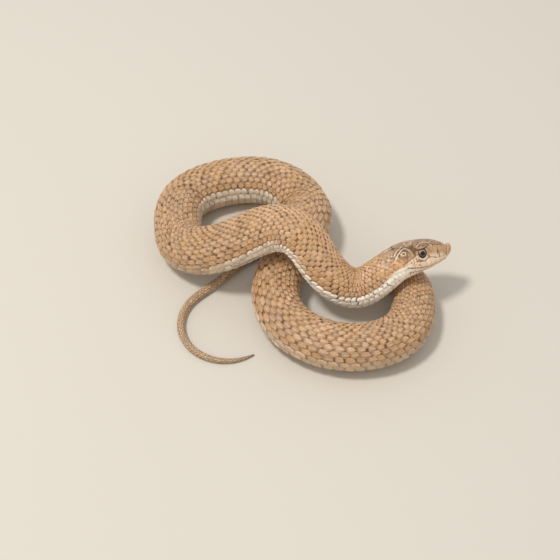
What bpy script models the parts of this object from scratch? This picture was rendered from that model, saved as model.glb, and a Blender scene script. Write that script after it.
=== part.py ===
"""A life-size coiled snake, modelled at rest on the ground.

The whole animal hangs on one route: a line from the snout to the tail tip, laid out as a run
of bends seen from above, with a height that rises where one length crosses another. Distances
called "along" are measured down that route from the snout. The head and every length of the
body are lofts on it, each parted from the next by a thin gap. Units are metres, and tables
are in millimetres.
"""

import math

import bmesh
import bpy
from mathutils import Matrix, Vector

MM = 0.001

# ---------------------------------------------------------------- the route
TOTAL_LENGTH = 651 * MM
SNOUT_X = 76.0 * MM
SNOUT_Y = -8.7 * MM
FIRST_HEADING = -165.0  # degrees from +X, walking from the snout towards the tail
BLEND = 14 * MM  # each bend eases into the next over this length
STEP = 1 * MM  # spacing of the route's computed points

# (length in mm, turn in degrees), a turn to the left being positive
BENDS = (
    (37, 10),  # the head, nearly straight
    (18, -30),  # the neck sinks and swings away
    (16, -45),
    (13, 17),  # it climbs over the crossing
    (24, 47),
    (33, -50),  # down into the upper loop
    (16, -46),
    (14, -5),
    (23, -62),
    (31, -31),  # far side of the upper loop
    (31, -59),
    (29, -57),  # back underneath the neck
    (25, -1),
    (16, 26),
    (28, 52),  # the lower loop
    (48, 65),
    (20, 52),
    (20, 12),
    (28, 120),  # root of the tail, turned back under the head
    (28, -91),  # the tail follows close behind the neck
    (26, 60),  # and runs below the crossing
    (28, 53),
    (26, -14),
    (43, 105),  # its free hook
    (30, 74),
)

# (along, clearance under the belly), level at each station
LIFTS = (
    (0, 21.0),  # the chin carried over the lower loop
    (26, 19.7),
    (50, 7.0),  # the neck's dip
    (89, 29.7),  # over the crossing
    (158, 0.0),
    (259, 0.0),
    (288, 7.8),  # over the animal's own tail
    (306, 1.8),
    (325, 0.0),
)

# ---------------------------------------------------------------- the body
NAPE = 31 * MM  # where the head meets the neck
SKULL_MIDDLE = 14 * MM  # where the skull takes the route's direction
SKULL_ENDS = 22 * MM  # the rigid part of the head, measured from the snout
PARTING = 0.3 * MM  # gap between neighbouring solids

# (along, radius) of the neck, trunk and tail
RADII = (
    (31, 9.4),
    (43, 10.2),
    (70, 11.3),
    (110, 12.6),
    (180, 13.0),
    (260, 13.1),
    (320, 12.7),
    (410, 12.1),
    (430, 11.3),  # the vent, and the quick narrowing behind it
    (443, 9.8),
    (455, 8.0),
    (470, 5.8),
    (486, 4.3),
    (503, 3.3),
    (523, 2.75),
    (560, 2.5),
    (600, 2.2),
    (625, 1.8),
    (642, 1.2),
    (651, 0.5),
)
BELLY = 0.95  # depth of the flat belly below the centre, as a share of the radius
BELLY_HALF_ANGLE = 24.0  # degrees either side of straight down that rest on the ground
HEAD_ROLL = 40.0  # degrees that the crown leans to the animal's left
ROLL_ENDS = 105 * MM  # where the neck is upright again

RING_SPACING = 7 * MM
BODY_SEGMENTS = 24
TAIL_SEGMENTS = 16
THIN_TAIL = 4.5 * MM  # radius below which a length takes the coarser ring

# (name, where it ends) of every length behind the head
LENGTHS = (
    ("neck", 66),
    ("trunk_crossing", 104),
    ("trunk_descent", 145),
    ("trunk_upper_left", 190),
    ("trunk_upper_far", 236),
    ("trunk_upper_right", 274),
    ("trunk_underpass", 318),
    ("trunk_lower_left", 354),
    ("trunk_lower_near", 392),
    ("trunk_lower_right", 432),
    ("tail_root", 470),
    ("tail_underpass", 540),
    ("tail_hook", 600),
    ("tail_tip", 651),
)

# ---------------------------------------------------------------- the head
# (along, half width, crown, level of the widest line, chin, squareness)
HEAD_SECTIONS = (
    (-1.3, 0.9, 1.3, 0.4, -0.6, 2.0),  # upturned tip of the snout shield
    (-0.5, 2.1, 2.2, 0.2, -1.7, 2.2),
    (1.0, 3.3, 2.9, -0.2, -3.2, 2.4),
    (3.4, 4.7, 4.5, -0.7, -4.7, 2.6),
    (7.4, 6.3, 6.7, -1.2, -5.6, 2.7),
    (11.5, 7.5, 8.1, -1.6, -6.3, 2.7),
    (16.0, 8.7, 8.9, -1.8, -6.9, 2.5),  # the eyes
    (22.0, 9.9, 9.6, -1.5, -7.8, 2.3),
    (27.0, 10.1, 9.5, -0.8, -8.7, 2.1),  # the jaw corners
    (31.0, 9.4, 9.4, 0.0, -8.93, 2.0),
)
HEAD_RINGS = 20
HEAD_SEGMENTS = 28
SNOUT_CROWDING = 0.45  # 0 spaces the rings evenly, 1 draws most of them to the snout

# (along, height) of the mouth line in side view, snout to corner
MOUTH_LINE = ((2.4, -3.6), (5.0, -3.9), (9.0, -4.3), (15.0, -4.5), (20.0, -3.8), (26.0, -2.2))
JAW_FRONT = 3.2  # tip of the lower jaw, under the snout shield
JAW_BACK = 27.5  # end of the jaw at the throat
JAW_BELOW = -16.0  # safely under the chin
JAW_REACH = 12.0  # safely past the cheeks

EYE_ALONG = 16.2 * MM
EYE_RADIUS = 3.5 * MM  # of the ball; only its outer cap shows
EYE_OUT = 5.15 * MM
EYE_UP = 2.2 * MM
EYE_SEGMENTS = 16
EYE_RINGS = 10

# base colour and roughness
FINISHES = {
    "hide": ((0.46, 0.31, 0.17, 1.0), 0.55),
    "crown": ((0.40, 0.28, 0.17, 1.0), 0.5),
    "jaw": ((0.66, 0.58, 0.46, 1.0), 0.5),
    "eye": ((0.05, 0.035, 0.025, 1.0), 0.08),
}


# ---------------------------------------------------------------- reading the tables
def ease(share):
    """A smooth step from 0 to 1."""
    share = min(1.0, max(0.0, share))
    return share * share * (3.0 - 2.0 * share)


def smooth_reading(stations, at, column=1):
    """One column of a station table, on a curve that never overshoots its stations."""
    xs = [row[0] for row in stations]
    ys = [row[column] for row in stations]
    if at <= xs[0]:
        return ys[0]
    if at >= xs[-1]:
        return ys[-1]
    slopes = [(ys[i + 1] - ys[i]) / (xs[i + 1] - xs[i]) for i in range(len(xs) - 1)]

    def tangent(i):
        if i == 0 or i == len(xs) - 1:
            return slopes[min(i, len(slopes) - 1)]
        before, after = slopes[i - 1], slopes[i]
        return 0.0 if before * after <= 0.0 else 2.0 * before * after / (before + after)

    i = max(k for k in range(len(xs) - 1) if xs[k] <= at)
    span = xs[i + 1] - xs[i]
    t = (at - xs[i]) / span
    rise = ys[i + 1] - ys[i]
    leaving, arriving = tangent(i) * span, tangent(i + 1) * span
    bow = (3.0 * rise - 2.0 * leaving - arriving) * t**2
    return ys[i] + leaving * t + bow + (leaving + arriving - 2.0 * rise) * t**3


def level_reading(stations, at):
    """A table whose curve is level at every station."""
    for (start, low), (end, high) in zip(stations, stations[1:]):
        if at <= end:
            return low + (high - low) * ease((at - start) / (end - start))
    return stations[-1][1]


def radius_at(along):
    """Radius of the body."""
    return smooth_reading(RADII, along / MM) * MM


def lift_at(along):
    """Clearance under the belly."""
    return level_reading(LIFTS, along / MM) * MM


# ---------------------------------------------------------------- the route in space
def sharp_heading(along):
    """Heading in degrees with every bend a true arc."""
    heading, start = FIRST_HEADING, 0.0
    for length, turn in BENDS:
        heading += turn * min(1.0, max(0.0, (along - start) / (length * MM)))
        start += length * MM
    return heading


def heading_at(along):
    """Heading in radians, averaged over BLEND so that the curvature has no jumps."""
    samples = 9
    offsets = [(k / (samples - 1) - 0.5) * BLEND for k in range(samples)]
    return math.radians(sum(sharp_heading(along + offset) for offset in offsets) / samples)


def lay_route():
    """The route's points, one every STEP of ground."""
    x, y = SNOUT_X, SNOUT_Y
    points = []
    for k in range(round(TOTAL_LENGTH / STEP) + 1):
        along = k * STEP
        points.append(Vector((x, y, BELLY * radius_at(along) + lift_at(along))))
        heading = heading_at(along + STEP / 2)
        x += math.cos(heading) * STEP
        y += math.sin(heading) * STEP
    return points


ROUTE = lay_route()


def point_at(along):
    """The route's point at a distance."""
    place = min(max(along / STEP, 0.0), len(ROUTE) - 1.0)
    k = min(int(place), len(ROUTE) - 2)
    return ROUTE[k].lerp(ROUTE[k + 1], place - k)


def frame_at(along):
    """Centre, forward, left and up of the body at a distance."""
    ahead = point_at(max(along - STEP, 0.0))
    behind = point_at(min(along + STEP, TOTAL_LENGTH))
    forward = (ahead - behind).normalized()
    level_left = Vector((0.0, 0.0, 1.0)).cross(forward).normalized()
    level_up = forward.cross(level_left)
    roll = math.radians(HEAD_ROLL) * (1.0 - ease((along - NAPE) / (ROLL_ENDS - NAPE)))
    up = level_up * math.cos(roll) + level_left * math.sin(roll)
    return point_at(along), forward, up.cross(forward), up


def skull_place(along_mm, left_mm, up_mm):
    """A point in the skull's own straight measures: distance from the snout, left and up."""
    middle, forward, left, up = frame_at(SKULL_MIDDLE)
    ahead = forward * (SKULL_MIDDLE - along_mm * MM)
    return middle + ahead + left * (left_mm * MM) + up * (up_mm * MM)


def head_place(along_mm, left_mm, up_mm):
    """The same point where the head eases into the neck's own bend towards the nape."""
    along = along_mm * MM
    centre, _, left, up = frame_at(min(along, NAPE))
    bent = centre + left * (left_mm * MM) + up * (up_mm * MM)
    share = ease((along - SKULL_ENDS) / (NAPE - SKULL_ENDS))
    return skull_place(along_mm, left_mm, up_mm).lerp(bent, share)


# ---------------------------------------------------------------- lofts
def loft(name, rings):
    """A closed solid through rings of equal count, with a face across each end."""
    shape = bmesh.new()
    loops = [[shape.verts.new(point) for point in ring] for ring in rings]
    for before, after in zip(loops, loops[1:]):
        for k in range(len(before)):
            following = (k + 1) % len(before)
            shape.faces.new((before[k], before[following], after[following], after[k]))
    shape.faces.new(loops[0])
    shape.faces.new(loops[-1])
    bmesh.ops.recalc_face_normals(shape, faces=shape.faces[:])
    mesh = bpy.data.meshes.new(name)
    shape.to_mesh(mesh)
    shape.free()
    return bpy.data.objects.new(name, mesh)


def spread(start, end, count):
    """Evenly spaced distances, both ends included."""
    return [start + (end - start) * k / (count - 1) for k in range(count)]


def body_ring(along, segments):
    """One body section, from the ridge of the back round by the left."""
    centre, _, left, up = frame_at(along)
    radius = radius_at(along)
    ring = []
    for k in range(segments):
        angle = 2.0 * math.pi * k / segments
        depth = max(math.cos(angle), -BELLY)
        point = centre + left * (radius * math.sin(angle)) + up * (radius * depth)
        if lift_at(along) == 0.0 and abs(math.degrees(angle) - 180.0) < BELLY_HALF_ANGLE:
            point.z = 0.0
        ring.append(point)
    return ring


def body_length(name, start, end):
    """One named length of the neck, trunk or tail."""
    first = start + PARTING / 2
    last = min(end - PARTING / 2, TOTAL_LENGTH)
    rings = max(3, math.ceil((last - first) / RING_SPACING) + 1)
    segments = TAIL_SEGMENTS if radius_at(start) < THIN_TAIL else BODY_SEGMENTS
    return loft(name, [body_ring(along, segments) for along in spread(first, last, rings)])


def head_ring(along, segments):
    """One head section: a squared oval, widest at its own level."""
    half_width, crown, level, chin, squareness = (
        smooth_reading(HEAD_SECTIONS, along, column) for column in range(1, 6)
    )
    ring = []
    for k in range(segments):
        angle = 2.0 * math.pi * k / segments
        sine, cosine = math.sin(angle), math.cos(angle)
        out = math.copysign(abs(sine) ** (2.0 / squareness), sine) * half_width
        reach = (crown if cosine > 0.0 else chin) - level
        ring.append(head_place(along, out, level + reach * abs(cosine) ** (2.0 / squareness)))
    return ring


def head_loft(name):
    """The whole head before the mouth is parted."""
    tip, nape = HEAD_SECTIONS[0][0], (NAPE - PARTING / 2) / MM
    rings = []
    for share in spread(0.0, 1.0, HEAD_RINGS):
        crowded = share * (1.0 - SNOUT_CROWDING) + share**2 * SNOUT_CROWDING
        rings.append(head_ring(tip + (nape - tip) * crowded, HEAD_SEGMENTS))
    return loft(name, rings)


def jaw_block(name, gap):
    """A cutter that holds everything under the mouth line, larger by a gap in mm."""
    front = JAW_FRONT - gap
    profile = [(front, smooth_reading(MOUTH_LINE, front) + gap)]
    profile += [(along, height + gap) for along, height in MOUTH_LINE if along > JAW_FRONT]
    profile += [(JAW_BACK + gap, JAW_BELOW / 2), (JAW_BACK + gap, JAW_BELOW), (front, JAW_BELOW)]
    sides = [[skull_place(a, side * JAW_REACH, h) for a, h in profile] for side in (-1, 1)]
    return helper(loft(name, sides))


def eyeball(name, side, radius):
    """A ball set in the side of the head, its poles across the head."""
    shape = bmesh.new()
    bmesh.ops.create_uvsphere(
        shape, u_segments=EYE_SEGMENTS, v_segments=EYE_RINGS, radius=radius
    )
    mesh = bpy.data.meshes.new(name)
    shape.to_mesh(mesh)
    shape.free()
    ball = bpy.data.objects.new(name, mesh)
    _, forward, left, _ = frame_at(SKULL_MIDDLE)
    turn = Matrix((forward, left.cross(forward), left)).transposed().to_4x4()
    place = skull_place(EYE_ALONG / MM, side * EYE_OUT / MM, EYE_UP / MM)
    ball.matrix_world = Matrix.Translation(place) @ turn
    return ball


# ---------------------------------------------------------------- assembly
def clear_scene():
    """Remove what the scene starts with."""
    for thing in list(bpy.data.objects):
        bpy.data.objects.remove(thing, do_unlink=True)


def helper(thing):
    """Mark an object as a cutter, which is no part of the snake."""
    thing.hide_render = True
    thing.display_type = "WIRE"
    cutters.objects.link(thing)
    return thing


def cut(target, tool, operation):
    """Add a Boolean to an object."""
    modifier = target.modifiers.new(tool.name, "BOOLEAN")
    modifier.operation = operation
    modifier.solver = "EXACT"
    modifier.object = tool


def material(name):
    """One plain finish."""
    colour, roughness = FINISHES[name]
    made = bpy.data.materials.new(name)
    made.use_nodes = True
    shader = made.node_tree.nodes["Principled BSDF"]
    shader.inputs["Base Color"].default_value = colour
    shader.inputs["Roughness"].default_value = roughness
    shader.inputs["Metallic"].default_value = 0.0
    return made


def add(thing, finish):
    """Put an object in the snake's collection with its finish."""
    snake.objects.link(thing)
    thing.data.materials.append(finishes[finish])
    thing.data.shade_smooth()
    return thing


def build_head():
    """The skull with its upper lip, the lower jaw and both eyes."""
    head = add(head_loft("head"), "crown")
    cut(head, jaw_block("jaw_room", PARTING / MM), "DIFFERENCE")
    jaw = add(head_loft("lower_jaw"), "jaw")
    cut(jaw, jaw_block("jaw_shape", 0.0), "INTERSECT")
    for name, side in (("eye_left", 1), ("eye_right", -1)):
        add(eyeball(name, side, EYE_RADIUS), "eye")
        socket = helper(eyeball(name + "_socket", side, EYE_RADIUS + PARTING))
        cut(head, socket, "DIFFERENCE")


def build_body():
    """Every length from the neck to the tail tip."""
    start = NAPE
    for name, end in LENGTHS:
        add(body_length(name, start, end * MM), "hide")
        start = end * MM


clear_scene()
snake = bpy.data.collections.new("coiled_snake")
cutters = bpy.data.collections.new("cutters")
bpy.context.scene.collection.children.link(snake)
bpy.context.scene.collection.children.link(cutters)
finishes = {name: material(name) for name in FINISHES}
build_head()
build_body()
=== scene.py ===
"""Looks of the coiled snake: one skin, its scales and head plates, and the eyes.

Everything hangs on the same route as the solids. A point on the animal is named by its distance
from the snout ("along", in millimetres) and its angle round the body from the ridge of the back
("angle", in radians, positive to the animal's left). Heights are millimetres above the solids'
own surface, so nothing that stays at or under 0 reaches past them.
"""

import logging
import math
from dataclasses import dataclass, field
from enum import Enum

import bpy
import numpy as np
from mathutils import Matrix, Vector


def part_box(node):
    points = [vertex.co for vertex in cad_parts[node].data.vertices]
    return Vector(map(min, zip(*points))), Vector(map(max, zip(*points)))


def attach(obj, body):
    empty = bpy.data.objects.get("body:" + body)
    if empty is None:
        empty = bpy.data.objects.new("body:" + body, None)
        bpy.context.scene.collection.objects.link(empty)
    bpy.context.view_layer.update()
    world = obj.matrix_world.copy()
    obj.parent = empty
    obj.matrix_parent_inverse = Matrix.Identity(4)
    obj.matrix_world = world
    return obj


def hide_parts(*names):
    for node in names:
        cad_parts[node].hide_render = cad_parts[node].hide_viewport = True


MM = 0.001
SEED = 20
RADIAN = 57.3  # degrees
Array = np.ndarray
Object = bpy.types.Object
Mesh = bpy.types.Mesh
Material = bpy.types.Material
Tree = bpy.types.NodeTree
Socket = bpy.types.NodeSocket

log = logging.getLogger("coiled_snake")
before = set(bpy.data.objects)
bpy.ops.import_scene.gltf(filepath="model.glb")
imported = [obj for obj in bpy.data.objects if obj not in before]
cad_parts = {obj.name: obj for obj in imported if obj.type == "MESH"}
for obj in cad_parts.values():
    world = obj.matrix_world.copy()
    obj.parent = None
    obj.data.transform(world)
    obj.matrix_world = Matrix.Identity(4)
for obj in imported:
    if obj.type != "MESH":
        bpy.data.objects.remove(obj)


# ---------------------------------------------------------------- reading the tables
def ease(share: Array) -> Array:
    """A smooth step from 0 to 1."""
    share = np.clip(share, 0.0, 1.0)
    return share * share * (3.0 - 2.0 * share)


def smooth_reading(stations: tuple, at: Array, column: int = 1) -> Array:
    """Read one column of a station table on a curve that never overshoots.

    Args:
        stations: Rows of numbers, the distance first.
        at: Distances to read.
        column: Which number of each row.

    Returns:
        The readings, one for each distance.
    """
    table = np.array(stations, float)
    xs, ys = table[:, 0], table[:, column]
    at = np.clip(at, xs[0], xs[-1])
    slopes = np.diff(ys) / np.diff(xs)
    tangents = np.concatenate([slopes[:1], np.zeros(len(xs) - 2), slopes[-1:]])
    before, after = slopes[:-1], slopes[1:]
    same = before * after > 0.0
    tangents[1:-1][same] = 2.0 * before[same] * after[same] / (before[same] + after[same])
    i = np.clip(np.searchsorted(xs, at, side="right") - 1, 0, len(xs) - 2)
    span = xs[i + 1] - xs[i]
    t = (at - xs[i]) / span
    rise = ys[i + 1] - ys[i]
    leaving, arriving = tangents[i] * span, tangents[i + 1] * span
    bow = (3.0 * rise - 2.0 * leaving - arriving) * t**2
    return ys[i] + leaving * t + bow + (leaving + arriving - 2.0 * rise) * t**3


def level_reading(stations: tuple, at: Array) -> Array:
    """Read a table whose curve is level at every station.

    Args:
        stations: Rows of distance and value.
        at: Distances to read.

    Returns:
        The readings, one for each distance.
    """
    reading = np.full(np.shape(at), float(stations[0][1]))
    for (start, low), (end, high) in zip(stations, stations[1:]):
        reading = reading + (high - low) * ease((at - start) / (end - start))
    return reading


def straight_reading(stations: tuple, at: Array) -> Array:
    """Read a table joined by straight lines."""
    table = np.array(stations, float)
    return np.interp(at, table[:, 0], table[:, 1])


def bell(distance: Array, width: float) -> Array:
    """1 at no distance, falling off smoothly over a width."""
    return np.exp(-((distance / width) ** 2))


def between(at: Array, start: float, rise: float, end: float, fall: float) -> Array:
    """1 between two places, easing in before them and out behind them.

    Args:
        at: Places.
        start: Where it begins to rise from 0.
        rise: How far it takes to reach 1.
        end: Where it begins to fall.
        fall: How far it takes to reach 0 again.

    Returns:
        Shares from 0 to 1.
    """
    return ease((at - start) / rise) * (1.0 - ease((at - end) / fall))


def line_distance(x: Array, y: Array, line: tuple) -> Array:
    """Distance of points from a line of straight pieces, or from a single point.

    Args:
        x: First coordinates of the points.
        y: Second coordinates of the points.
        line: Corners of the line.

    Returns:
        The least distance of each point.
    """
    least = np.full(np.shape(x), 1e9)
    for (ax, ay), (bx, by) in zip(line, line[1:] or line):
        dx, dy = bx - ax, by - ay
        size = max(dx * dx + dy * dy, 1e-9)
        t = np.clip(((x - ax) * dx + (y - ay) * dy) / size, 0.0, 1.0)
        least = np.minimum(least, np.hypot(x - ax - t * dx, y - ay - t * dy))
    return least


# ---------------------------------------------------------------- the route
@dataclass
class Route:
    """The line that the animal hangs on, from the snout to the tail tip, in millimetres."""

    length: float = 651.0
    snout: tuple = (76.0, -8.7)
    first_heading: float = -165.0
    blend: float = 14.0
    head_roll: float = 40.0
    roll_ends: float = 105.0
    nape: float = 31.0
    skull_middle: float = 14.0
    skull_ends: float = 22.0
    belly: float = 0.95
    bends: tuple = (
        (37, 10), (18, -30), (16, -45), (13, 17), (24, 47), (33, -50), (16, -46), (14, -5),
        (23, -62), (31, -31), (31, -59), (29, -57), (25, -1), (16, 26), (28, 52), (48, 65),
        (20, 52), (20, 12), (28, 120), (28, -91), (26, 60), (28, 53), (26, -14), (43, 105),
        (30, 74),
    )
    lifts: tuple = (
        (0, 21.0), (26, 19.7), (50, 7.0), (89, 29.7), (158, 0.0), (259, 0.0), (288, 7.8),
        (306, 1.8), (325, 0.0),
    )
    radii: tuple = (
        (31, 9.4), (43, 10.2), (70, 11.3), (110, 12.6), (180, 13.0), (260, 13.1), (320, 12.7),
        (410, 12.1), (430, 11.3), (443, 9.8), (455, 8.0), (470, 5.8), (486, 4.3), (503, 3.3),
        (523, 2.75), (560, 2.5), (600, 2.2), (625, 1.8), (642, 1.2), (651, 0.5),
    )
    points: Array = field(init=False)

    def __post_init__(self) -> None:
        """Lay the line out."""
        steps = np.arange(int(self.length) + 1, dtype=float)
        headings = self.heading(steps[:-1] + 0.5)
        x = self.snout[0] + np.concatenate([[0.0], np.cumsum(np.cos(headings))])
        y = self.snout[1] + np.concatenate([[0.0], np.cumsum(np.sin(headings))])
        z = self.belly * self.radius(steps) + level_reading(self.lifts, steps)
        self.points = np.stack([x, y, z], axis=1)

    def heading(self, along: Array) -> Array:
        """Heading in radians, walking towards the tail, with the bends blended.

        Args:
            along: Distances from the snout.

        Returns:
            One heading for each distance.
        """
        total = np.zeros(np.shape(along))
        for share in np.linspace(-0.5, 0.5, 9):
            at = along + share * self.blend
            heading, start = self.first_heading, 0.0
            for length, turn in self.bends:
                heading = heading + turn * np.clip((at - start) / length, 0.0, 1.0)
                start += length
            total = total + heading
        return np.radians(total / 9.0)

    def radius(self, along: Array) -> Array:
        """Radius of the body."""
        return smooth_reading(self.radii, along)

    def point(self, along: Array) -> Array:
        """Points of the line."""
        steps = np.arange(len(self.points))
        return np.stack([np.interp(along, steps, self.points[:, k]) for k in range(3)], axis=-1)

    def frame(self, along: Array) -> tuple:
        """Centre, forward, left and up of the body.

        Args:
            along: Distances from the snout.

        Returns:
            Four arrays of vectors.
        """
        along = np.clip(along, 0.0, self.length)
        forward = self.point(along - 1.0) - self.point(along + 1.0)
        forward /= np.linalg.norm(forward, axis=-1, keepdims=True)
        level_left = np.cross(np.array([0.0, 0.0, 1.0]), forward)
        level_left /= np.linalg.norm(level_left, axis=-1, keepdims=True)
        level_up = np.cross(forward, level_left)
        turned = 1.0 - ease((along - self.nape) / (self.roll_ends - self.nape))
        roll = np.radians(self.head_roll) * turned
        up = level_up * np.cos(roll)[..., None] + level_left * np.sin(roll)[..., None]
        return self.point(along), forward, np.cross(up, forward), up


# ---------------------------------------------------------------- the surface
@dataclass
class Eye:
    """Where an eye sits, in the skull's own measures, and how large it is."""

    along: float = 16.2
    out: float = 5.15
    up: float = 2.2
    ball: float = 3.5
    raised: float = 0.45  # of the dressed eye over the solid one
    tilt: float = 7.0  # degrees that the gaze is turned up
    chart_angle: float = 69.0  # degrees from the ridge, of the middle of the opening
    opening: float = 2.2
    steepness: float = 1.2  # of the surface there, over the chart's measure round the head


@dataclass
class Form:
    """The animal's outer surface, with the head's fine shape."""

    route: Route
    eye: Eye = field(default_factory=Eye)
    # (along, half width, crown, level of the widest line, chin, squareness)
    head: tuple = (
        (-1.3, 0.9, 1.25, 0.4, -0.6, 2.0), (-0.5, 2.0, 2.0, 0.2, -1.7, 2.2),
        (0.3, 2.75, 2.15, 0.0, -2.6, 2.3), (1.6, 3.7, 2.4, -0.35, -3.6, 2.5),
        (3.4, 4.7, 3.95, -0.7, -4.7, 2.6), (5.3, 5.55, 5.3, -0.95, -5.15, 2.65),
        (7.4, 6.3, 6.5, -1.2, -5.6, 2.7), (11.5, 7.5, 8.0, -1.6, -6.3, 2.7),
        (16.0, 8.7, 8.9, -1.8, -6.9, 2.5), (22.0, 9.9, 9.6, -1.5, -7.8, 2.3),
        (27.0, 10.1, 9.5, -0.8, -8.7, 2.1), (31.0, 9.4, 9.4, 0.0, -8.93, 2.0),
    )
    # (along, angle in degrees) of the closed mouth
    mouth: tuple = (
        (1.6, 158), (2.4, 149), (5.0, 130), (9.0, 124.5), (15.0, 116), (20.0, 104), (23.5, 97.5),
        (26.5, 94),
    )
    mouth_ends: float = 26.5
    nostril: tuple = (7.8, 83.0)  # (along, angle in degrees)
    tip: float = -1.3
    tip_length: float = 0.8  # over which the snout rounds off
    tip_level: float = 0.35  # height that it rounds off towards
    trunk_starts: float = 26.0  # where the head's section begins to turn into the body's
    trunk_blend: float = 9.0
    flat_edge: float = 0.0006  # how soft the edge of the flat under the belly is
    lowest: float = 0.03  # millimetres over the ground
    # (along, half window, reach, angle of the inner side) of the bends that are smoothed inside
    eased_bends: tuple = ((50, 6.0, 15.0, 0), (304, 4.0, 9.0, 0), (289, 4.0, 9.0, 180))
    offset: Array = field(default_factory=lambda: np.zeros(3))

    def section(self, along: Array, angle: Array) -> tuple:
        """Left and up of the plain section at each distance and angle.

        Args:
            along: Distances from the snout.
            angle: Angles round the body.

        Returns:
            Two arrays, in millimetres.
        """
        half, crown, level, chin, square = (
            smooth_reading(self.head, along, column) for column in range(1, 6)
        )
        sine, cosine = np.sin(angle), np.cos(angle)
        blunt = np.sqrt(np.clip((along - self.tip) / self.tip_length, 0.0, 1.0))
        power = 2.0 / square
        reach = np.where(cosine > 0.0, crown, chin) - level
        head_left = np.sign(sine) * np.abs(sine) ** power * half * blunt
        head_up = level + reach * np.abs(cosine) ** power
        head_up = self.tip_level + (head_up - self.tip_level) * blunt
        radius = self.route.radius(along)
        body_left = radius * sine
        gap = cosine + self.route.belly
        flattened = 0.5 * (gap + np.sqrt(gap * gap + self.flat_edge))
        body_up = radius * (flattened - self.route.belly)
        share = self.trunk_share(along)
        return (
            head_left + (body_left - head_left) * share,
            head_up + (body_up - head_up) * share,
        )

    def trunk_share(self, along: Array) -> Array:
        """How far the head's section has turned into the body's, from 0 to 1."""
        return ease((along - self.trunk_starts) / self.trunk_blend)

    def plain(self, along: Array, angle: Array) -> Array:
        """Points of the surface before the head's fine shape.

        Args:
            along: Distances from the snout.
            angle: Angles round the body.

        Returns:
            An array of points, smoothed on the inner side of the tightest bends.
        """
        surface = self.swept(along, angle)
        for middle, window, reach, side in self.eased_bends:
            inner = ease(0.5 + 1.2 * np.cos(angle - math.radians(side)))
            half = window * (1.0 - ease(np.abs(along - middle) / reach)) * inner
            chosen = half > 0.05
            if chosen.any():
                at, turn, half = along[chosen], angle[chosen], half[chosen]
                steps = [self.swept(at + share * half, turn) for share in np.linspace(-1, 1, 9)]
                surface[chosen] = np.mean(steps, axis=0)
        return surface

    def swept(self, along: Array, angle: Array) -> Array:
        """Points of the sections as the route carries them, rigid in the skull.

        Args:
            along: Distances from the snout.
            angle: Angles round the body.

        Returns:
            An array of points in millimetres.
        """
        left_mm, up_mm = self.section(along, angle)
        centre, _, left, up = self.route.frame(along)
        bent = centre + left * left_mm[..., None] + up * up_mm[..., None]
        rigid = self.in_skull(along, left_mm, up_mm)
        nape, skull = self.route.nape, self.route.skull_ends
        share = ease((along - skull) / (nape - skull))[..., None]
        return rigid + (bent - rigid) * share

    def skull(self) -> tuple:
        """Centre, forward, left and up of the rigid skull."""
        return tuple(part[0] for part in self.route.frame(np.array([self.route.skull_middle])))

    def in_skull(self, along: Array, out: Array, rise: Array) -> Array:
        """Points by their measures in the rigid skull.

        Args:
            along: Distances from the snout.
            out: Millimetres to the left of its middle.
            rise: Millimetres above its middle.

        Returns:
            An array of points in millimetres.
        """
        centre, forward, left, up = self.skull()
        point = centre + forward * np.asarray(self.route.skull_middle - along)[..., None]
        return point + left * np.asarray(out)[..., None] + up * np.asarray(rise)[..., None]

    def outward(self, along: Array, angle: Array) -> Array:
        """Directions out of the plain surface.

        Args:
            along: Distances from the snout.
            angle: Angles round the body.

        Returns:
            An array of unit vectors.
        """
        at = np.maximum(along, self.tip + 0.06)
        round_it = self.plain(at, angle + 0.02) - self.plain(at, angle - 0.02)
        down_it = self.plain(at + 0.05, angle) - self.plain(at - 0.05, angle)
        normal = np.cross(round_it, down_it)
        return normal / np.maximum(np.linalg.norm(normal, axis=-1, keepdims=True), 1e-9)

    def girth(self, along: Array) -> Array:
        """Millimetres of surface for each radian round the body."""
        head = 0.5 * (
            smooth_reading(self.head, along, 1)
            + 0.5 * (smooth_reading(self.head, along, 2) - smooth_reading(self.head, along, 4))
        )
        return head + (self.route.radius(along) - head) * self.trunk_share(along)

    def around(self, along: Array, angle: Array, degrees: float) -> Array:
        """Millimetres round the body from a line at an angle from the ridge, in degrees."""
        return (np.degrees(np.abs(angle)) - degrees) / RADIAN * self.girth(along)

    def nostril_distance(self, along: Array, angle: Array) -> Array:
        """Millimetres over the surface from the middle of the nearer nostril."""
        return np.hypot(along - self.nostril[0], self.around(along, angle, self.nostril[1]))

    def eye_distance(self, along: Array, angle: Array) -> Array:
        """Millimetres over the surface from the middle of the nearer eye."""
        around = (np.abs(angle) - math.radians(self.eye.chart_angle)) * self.girth(along)
        return np.hypot(along - self.eye.along, around * self.eye.steepness)

    def mouth_gap(self, along: Array, angle: Array) -> Array:
        """Millimetres below the closed mouth, negative above it."""
        line = np.radians(straight_reading(self.mouth, along))
        return (np.abs(angle) - line) * self.girth(along)

    def sculpt(self, along: Array, angle: Array) -> Array:
        """Millimetres that the head's fine shape adds to the surface.

        Args:
            along: Distances from the snout.
            angle: Angles round the body.

        Returns:
            Heights, negative in hollows.
        """
        # the ridge from snout to brow, and the shelf of the brow over the eye
        snout = bell(self.around(along, angle, 50.0), 0.9) * between(along, 2.0, 3.0, 11.5, 3.0)
        brow = bell(self.around(along, angle, 51.5), 0.75) * between(along, 11.5, 2.0, 19.0, 3.0)
        shape = 0.16 * snout + 0.42 * brow
        # the raised rim and the socket of the eye, and the hollow of the cheek before it
        eye = self.eye_distance(along, angle)
        shape += 0.14 * bell(eye - 2.6, 0.4) - 1.5 * (1.0 - ease((eye - 1.6) / 0.7))
        shape -= 0.22 * bell(along - 11.5, 3.2) * bell(self.around(along, angle, 72.0), 2.0)
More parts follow.
